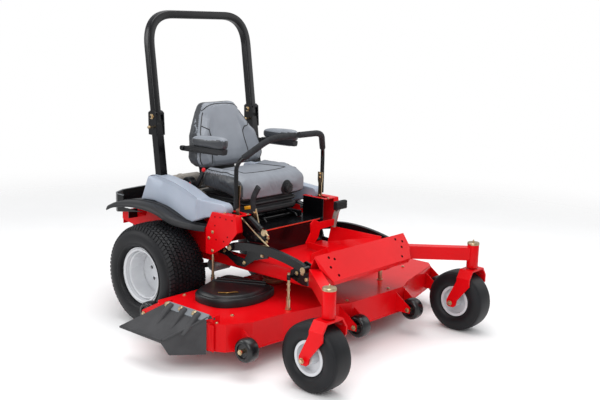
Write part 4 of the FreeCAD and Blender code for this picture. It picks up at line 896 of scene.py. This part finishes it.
# ---- Height plate, damper and brake --------------------------------------------------------------
# A gas damper and yellow zinc rods lie along the plate that sets the cutting height. The parking brake is a
# zinc-plated steel bar with a grey foam sleeve.
piece("damper_body", [sweep(at(-358, [585, 660], [699, 658]), disc(16.5, 22), (1, 0, 0))], powder_coat_black,
      "chassis", crease=50)
piece("setting_rods", [sweep(at(-364, [524, 742], [690, 560]), disc(5, 10), (1, 0, 0)),
                       sweep(at(-352, [660, 724], [656, 618]), disc(6, 10), (1, 0, 0)),
                       turned([(-8, 0), (-8, 17), (8, 17), (8, 0)], (-352, 690, 632), 0, 24),
                       heads([(-343, 712, 606), (-343, 700, 580)], (-1, 0, 0), 15, 7)], zinc_yellow,
      "chassis", crease=40)
brake_plate = np.array([(548, 586), (572, 585), (608, 640), (592, 700), (578, 745), (556, 738), (560, 700),
                        (575, 650)], float)
brake = piece("brake_lever_plate",
              [stacked([at(x, brake_plate[:, 0], brake_plate[:, 1]) for x in (-307, -299)]),
               heads([(-307, 584, 640), (-307, 570, 722)], (-1, 0, 0), 14, 6)], zinc_yellow, "chassis",
              crease=35)
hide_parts("parking_brake")
grip_route = curve([(560, 726), (552, 782), (566, 826), (594, 872)], 6)
piece("brake_sleeve", [sweep(at(-303, grip_route[:, 0], grip_route[:, 1]), round_box(17, 34, 7), (1, 0, 0))],
      grip_foam, "chassis", crease=50)

# ---- Lift linkage details ------------------------------------------------------------------------
# Turned bushings, threaded hanger rods, jam nuts and bolts are yellow zinc plated. A clear zinc ram and a
# bronze-painted belt pulley lie between the deck and the frame.
zinc_clear = finish("clear_zinc_plate", "#A9ACB0", "#C2C5C9", 16, 1.5, 0.02, 0.32, 0.08, Metallic=1.0)
HANGER_X, DECK_TOP = 413, 262
gold = []
for side in SIDES.values():
    for f, z in ((491, 526), (1043, 503)):
        bushing = np.array([(25, 0), (25, 17), (28, 17), (28, 9), (25.5, 9), (25.5, 0)]) * [side, 1]
        gold.append(turned(bushing, (side * 400, f, z), 0, 28))
    for f, z0, z1 in ((344, 322, 560), (935, 322, 466)):
        x = side * HANGER_X
        gold.append(turned([(0, 0), (0, 7.8), (z1 - z0, 7.8), (z1 - z0, 0)], (x, f, z0), 2, 16))
        gold += [heads([(x, f, z)], (0, 0, 1), 17, 9) for z in (z0 + 6, z1 - 64, z1 - 96)]
        gold.append(turned([(0, 0), (0, 17), (5, 17), (6, 12.4), (59, 12.4), (59, 0)],
                           (x, f, DECK_TOP + 0.5), 2, 20))
    gold.append(heads([(side * 378, 960, 462), (side * 378, 1000, 470), (side * 378, 1030, 440)],
                      (side, 0, 0), 16, 8))
    gold.append(heads([(side * 374, 560, 440), (side * 374, 400, 482), (side * 374, 700, 508)], (side, 0, 0),
                      16, 8))
piece("linkage_hardware", gold, zinc_yellow, "chassis", crease=35)
ram = [turned([(0, 0), (0, 20), (150, 20), (150, 9), (236, 9), (236, 0)], (-236, 560, 400), 0, 24)]
piece("lift_ram", ram, zinc_clear, "chassis", crease=35)
copper_belt = finish("painted_pulley_bronze", "#8C5A44", "#A56D54", 40, 2, 0.02, 0.4, 0.06, Metallic=0.6)
pulley = turned([(-12, 0), (-12, 62), (-9, 64), (-3, 54), (3, 54), (9, 64), (12, 62), (12, 0)],
                (-133, 565, 300), 2, 40)
piece("idler_pulley", [pulley], copper_belt, "chassis", crease=30)

# ---- Deck hardware and rollers -------------------------------------------------------------------
# Anti-scalp rollers are solid moulded rubber with recessed ends, on sleeved bolts through the deck's
# gussets. Zinc bolts stand on the deck's skin, a baffle closes the chute's mouth, and a flat bar stiffens
# the edge.
roller_rubber = finish("polished_roller_rubber", "#0C0D0F", "#141517", 60, 1.4, 0.02, 0.28, 0.05,
                       **{"Specular IOR Level": 0.5})
for name in ("front_right", "middle_right", "middle_left", "front_left", "rear_right", "rear_left"):
    node = f"roller_{name}"
    low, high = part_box(node)
    middle = ((np.array(low) + np.array(high)) / 2 - AXLE) * 1000
    spot = (middle[0], -middle[1], middle[2])
    half = curve([(0, 63.3), (20, 62), (30, 58), (36, 50), (37, 42), (34, 38), (24, 35), (23, 20),
                  (24, 9.5)], 4)
    made = piece(f"scalp_roller_{name}", [turned(both_sides(half), spot, steps=48, ring=True)],
                 roller_rubber, node, crease=45)
    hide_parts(node)
    ends = [heads([(spot[0] + end * 50, spot[1], spot[2])], (end, 0, 0), 20, 8) for end in (-1, 1)]
    ends += [turned([(end * 25, 8.2), (end * 25, 12), (end * 42.5, 12), (end * 42.5, 8.2)], spot, 0, 20,
                    True) for end in (-1, 1)]
    piece(f"roller_bolt_{name}", ends, zinc_yellow, "chassis")
deck_bolts = [heads([(x, f, DECK_TOP) for x, f in ((-842, 830), (-700, 800), (-640, 356), (760, 370),
                                                   (760, 860), (-60, 1060), (300, 1080))], (0, 0, 1), 15, 7),
              heads([(-870, 766, 232)], (-1, 0, 0), 15, 7)]
piece("deck_bolts", deck_bolts, zinc_yellow, "chassis")
baffle = [sweep(at(-868, f, [114, 258]), round_box(9, 9, 3, 4), (1, 0, 0)) for f in (812, 834)]
piece("mouth_baffle", baffle + [sweep(at(-866, 823, [114, 258]), round_box(8, 22, 1, 2), (1, 0, 0))],
      powder_coat_red, "chassis", crease=40)
bead_line = [(-826, 882), (-700, 950), (-486, 968), (-226, 1028), (-62, 1100), (80, 1108), (400, 1118),
             (520, 1066), (680, 1024), (928, 958), (967, 916), (967, 395)]
piece("deck_edge_bar", [sweep(at(*np.array(bead_line).T, 118), round_box(11, 3, 1.2, 2), (0, 0, 1))],
      powder_coat_red, "chassis", crease=25)

# ---- Belt covers ---------------------------------------------------------------------------------
# Thick polyethylene covers over the outer spindles, moulded with a stepped and rounded edge and two long
# ridges. A brass-plated spring strap holds each down.
moulded_cover = finish("moulded_black_polyethylene", "#0F1012", "#18191B", 120, 1.0, 0.03, 0.34, 0.06,
                       **{"Specular IOR Level": 0.4})
COVER_PLAN = [(130, 560), (122, 500), (86, 446), (-40, 394), (-150, 362), (-244, 350), (-280, 420),
              (-298, 560), (-292, 680), (-240, 720), (-133, 750), (-20, 745), (70, 706), (120, 648)]
COVER_MIDDLE, COVER_X, COVER_HEART = 50, 602, (-60, 560)
for name, side in SIDES.items():
    mid = COVER_MIDDLE + side * COVER_X
    outline = (curve(COVER_PLAN, 5, closed=True) - COVER_HEART).T
    body = stacked([at(mid + side * (COVER_HEART[0] + outline[0] * k), COVER_HEART[1] + outline[1] * k, z)
                    for z, k in ((263, 1.0), (300, 1.0), (306, 0.985), (309, 0.96), (309, 0.93), (318, 0.90),
                                 (323, 0.87), (324, 0.83), (324, 0.4))])
    bars = [sweep(at(mid - side * np.array(xs), np.array(fs), 325), round_box(11, 20, 5, 4), (0, 0, 1))
            for xs, fs in (((84, 236), (400, 676)), ((130, 272), (390, 640)))]
    made = piece(f"belt_cover_{name}", [body] + bars, moulded_cover, "chassis", crease=40)
    if side > 0:
        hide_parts("belt_covers")
    strap = sweep(bent([(mid + side * 60, 600, 326), (mid + side * 40, 650, 331), (mid - side * 4, 668, 331),
                        (mid - side * 20, 672, 326)], 14), round_box(5, 11, 2, 3), (0, 0, 1))
    piece(f"cover_strap_{name}", [strap], valve_brass, "chassis")

# ---- Discharge deflector -------------------------------------------------------------------------
# A tough rubber-modified chute that sheds cuttings to the side. Three gussets run up to a grey steel hinge
# plate, each under a yellow zinc bolt.
chute_rubber = finish("moulded_chute_rubber", "#2F2F31", "#3B3B3D", 90, 2.4, 0.12, 0.6, 0.05,
                      **{"Specular IOR Level": 0.4})
dress("deflector", chute_rubber, 2.5)
hinge_steel = finish("grey_primed_steel", "#6F7479", "#7C8186", 90, 2, 0.02, 0.42, 0.05, Metallic=0.2)
hinge_x, hinge_z, fall = -856, 288, 130 / 188


def above_chute(out, forward, rise):
    """A point on the sloping chute: out mm from the hinge line, and rise mm above its skin."""
    return at(hinge_x - out, forward, hinge_z + 8 - (out - 8) * fall + rise)


plate_plan = np.array([(4, 478), (4, 798), (24, 806), (40, 780), (40, 500), (30, 478)], float)
piece("hinge_plate", [stacked([above_chute(plate_plan[:, 0], plate_plan[:, 1], rise) for rise in (0.5, 6)])],
      hinge_steel, "deflector", edge=1)
gussets, bolts = [], []
arch = np.linspace(0, np.pi, 9)
for forward in (520, 628, 732):
    rows = [above_chute(out, forward + half * np.cos(arch), -3 + (rise + 3) * np.sin(arch) ** 0.7)
            for out, half, rise in ((14, 15, 11), (26, 18, 27), (44, 18, 32), (66, 17, 27), (92, 15, 17),
                                    (118, 12, 6), (132, 9, -1))]
    gussets.append(stacked(rows))
    bolts.append((hinge_x - 20, forward - 34, hinge_z + 8 - 12 * fall + 5))
for rise, wide, line in ((1, 18, ((14, 798), (60, 758), (120, 706), (188, 646))),
                         (0, 10, ((188, 640), (190, 480), (190, 312)))):
    gussets.append(sweep(above_chute(*np.array(line).T, rise), round_box(9, wide, 4, 4), (0, 0, 1)))
piece("chute_gussets", gussets, chute_rubber, "deflector", crease=40)
piece("chute_bolts", [heads(bolts, (-0.57, 0, 0.82), 22, 9)], zinc_yellow, "deflector")

# ---- Rear guard details --------------------------------------------------------------------------
# A grey strip along the guard's rolled top bead is a painted highlight, in the grey primed steel of the
# hinge plate.
GUARD_HALF = [(430, -462), (430, -522), (402, -572), (316, -620), (150, -640)]
guard_top = bent([(-x, f, 690) for x, f in GUARD_HALF] + [(x, f, 690) for x, f in GUARD_HALF[::-1]], 12, 3)
# Painted highlight: a grey strip laid along the top of the guard's bead.
piece("guard_bead_painted_highlight",
      [sweep(guard_top + at(0, 0, -2) - at(0, 0, 0) + [0, -0.006, 0], round_box(3, 9, 1.2, 2), (0, 0, 1))],
      hinge_steel, "chassis", crease=30)

scene.view_layers[0].update()
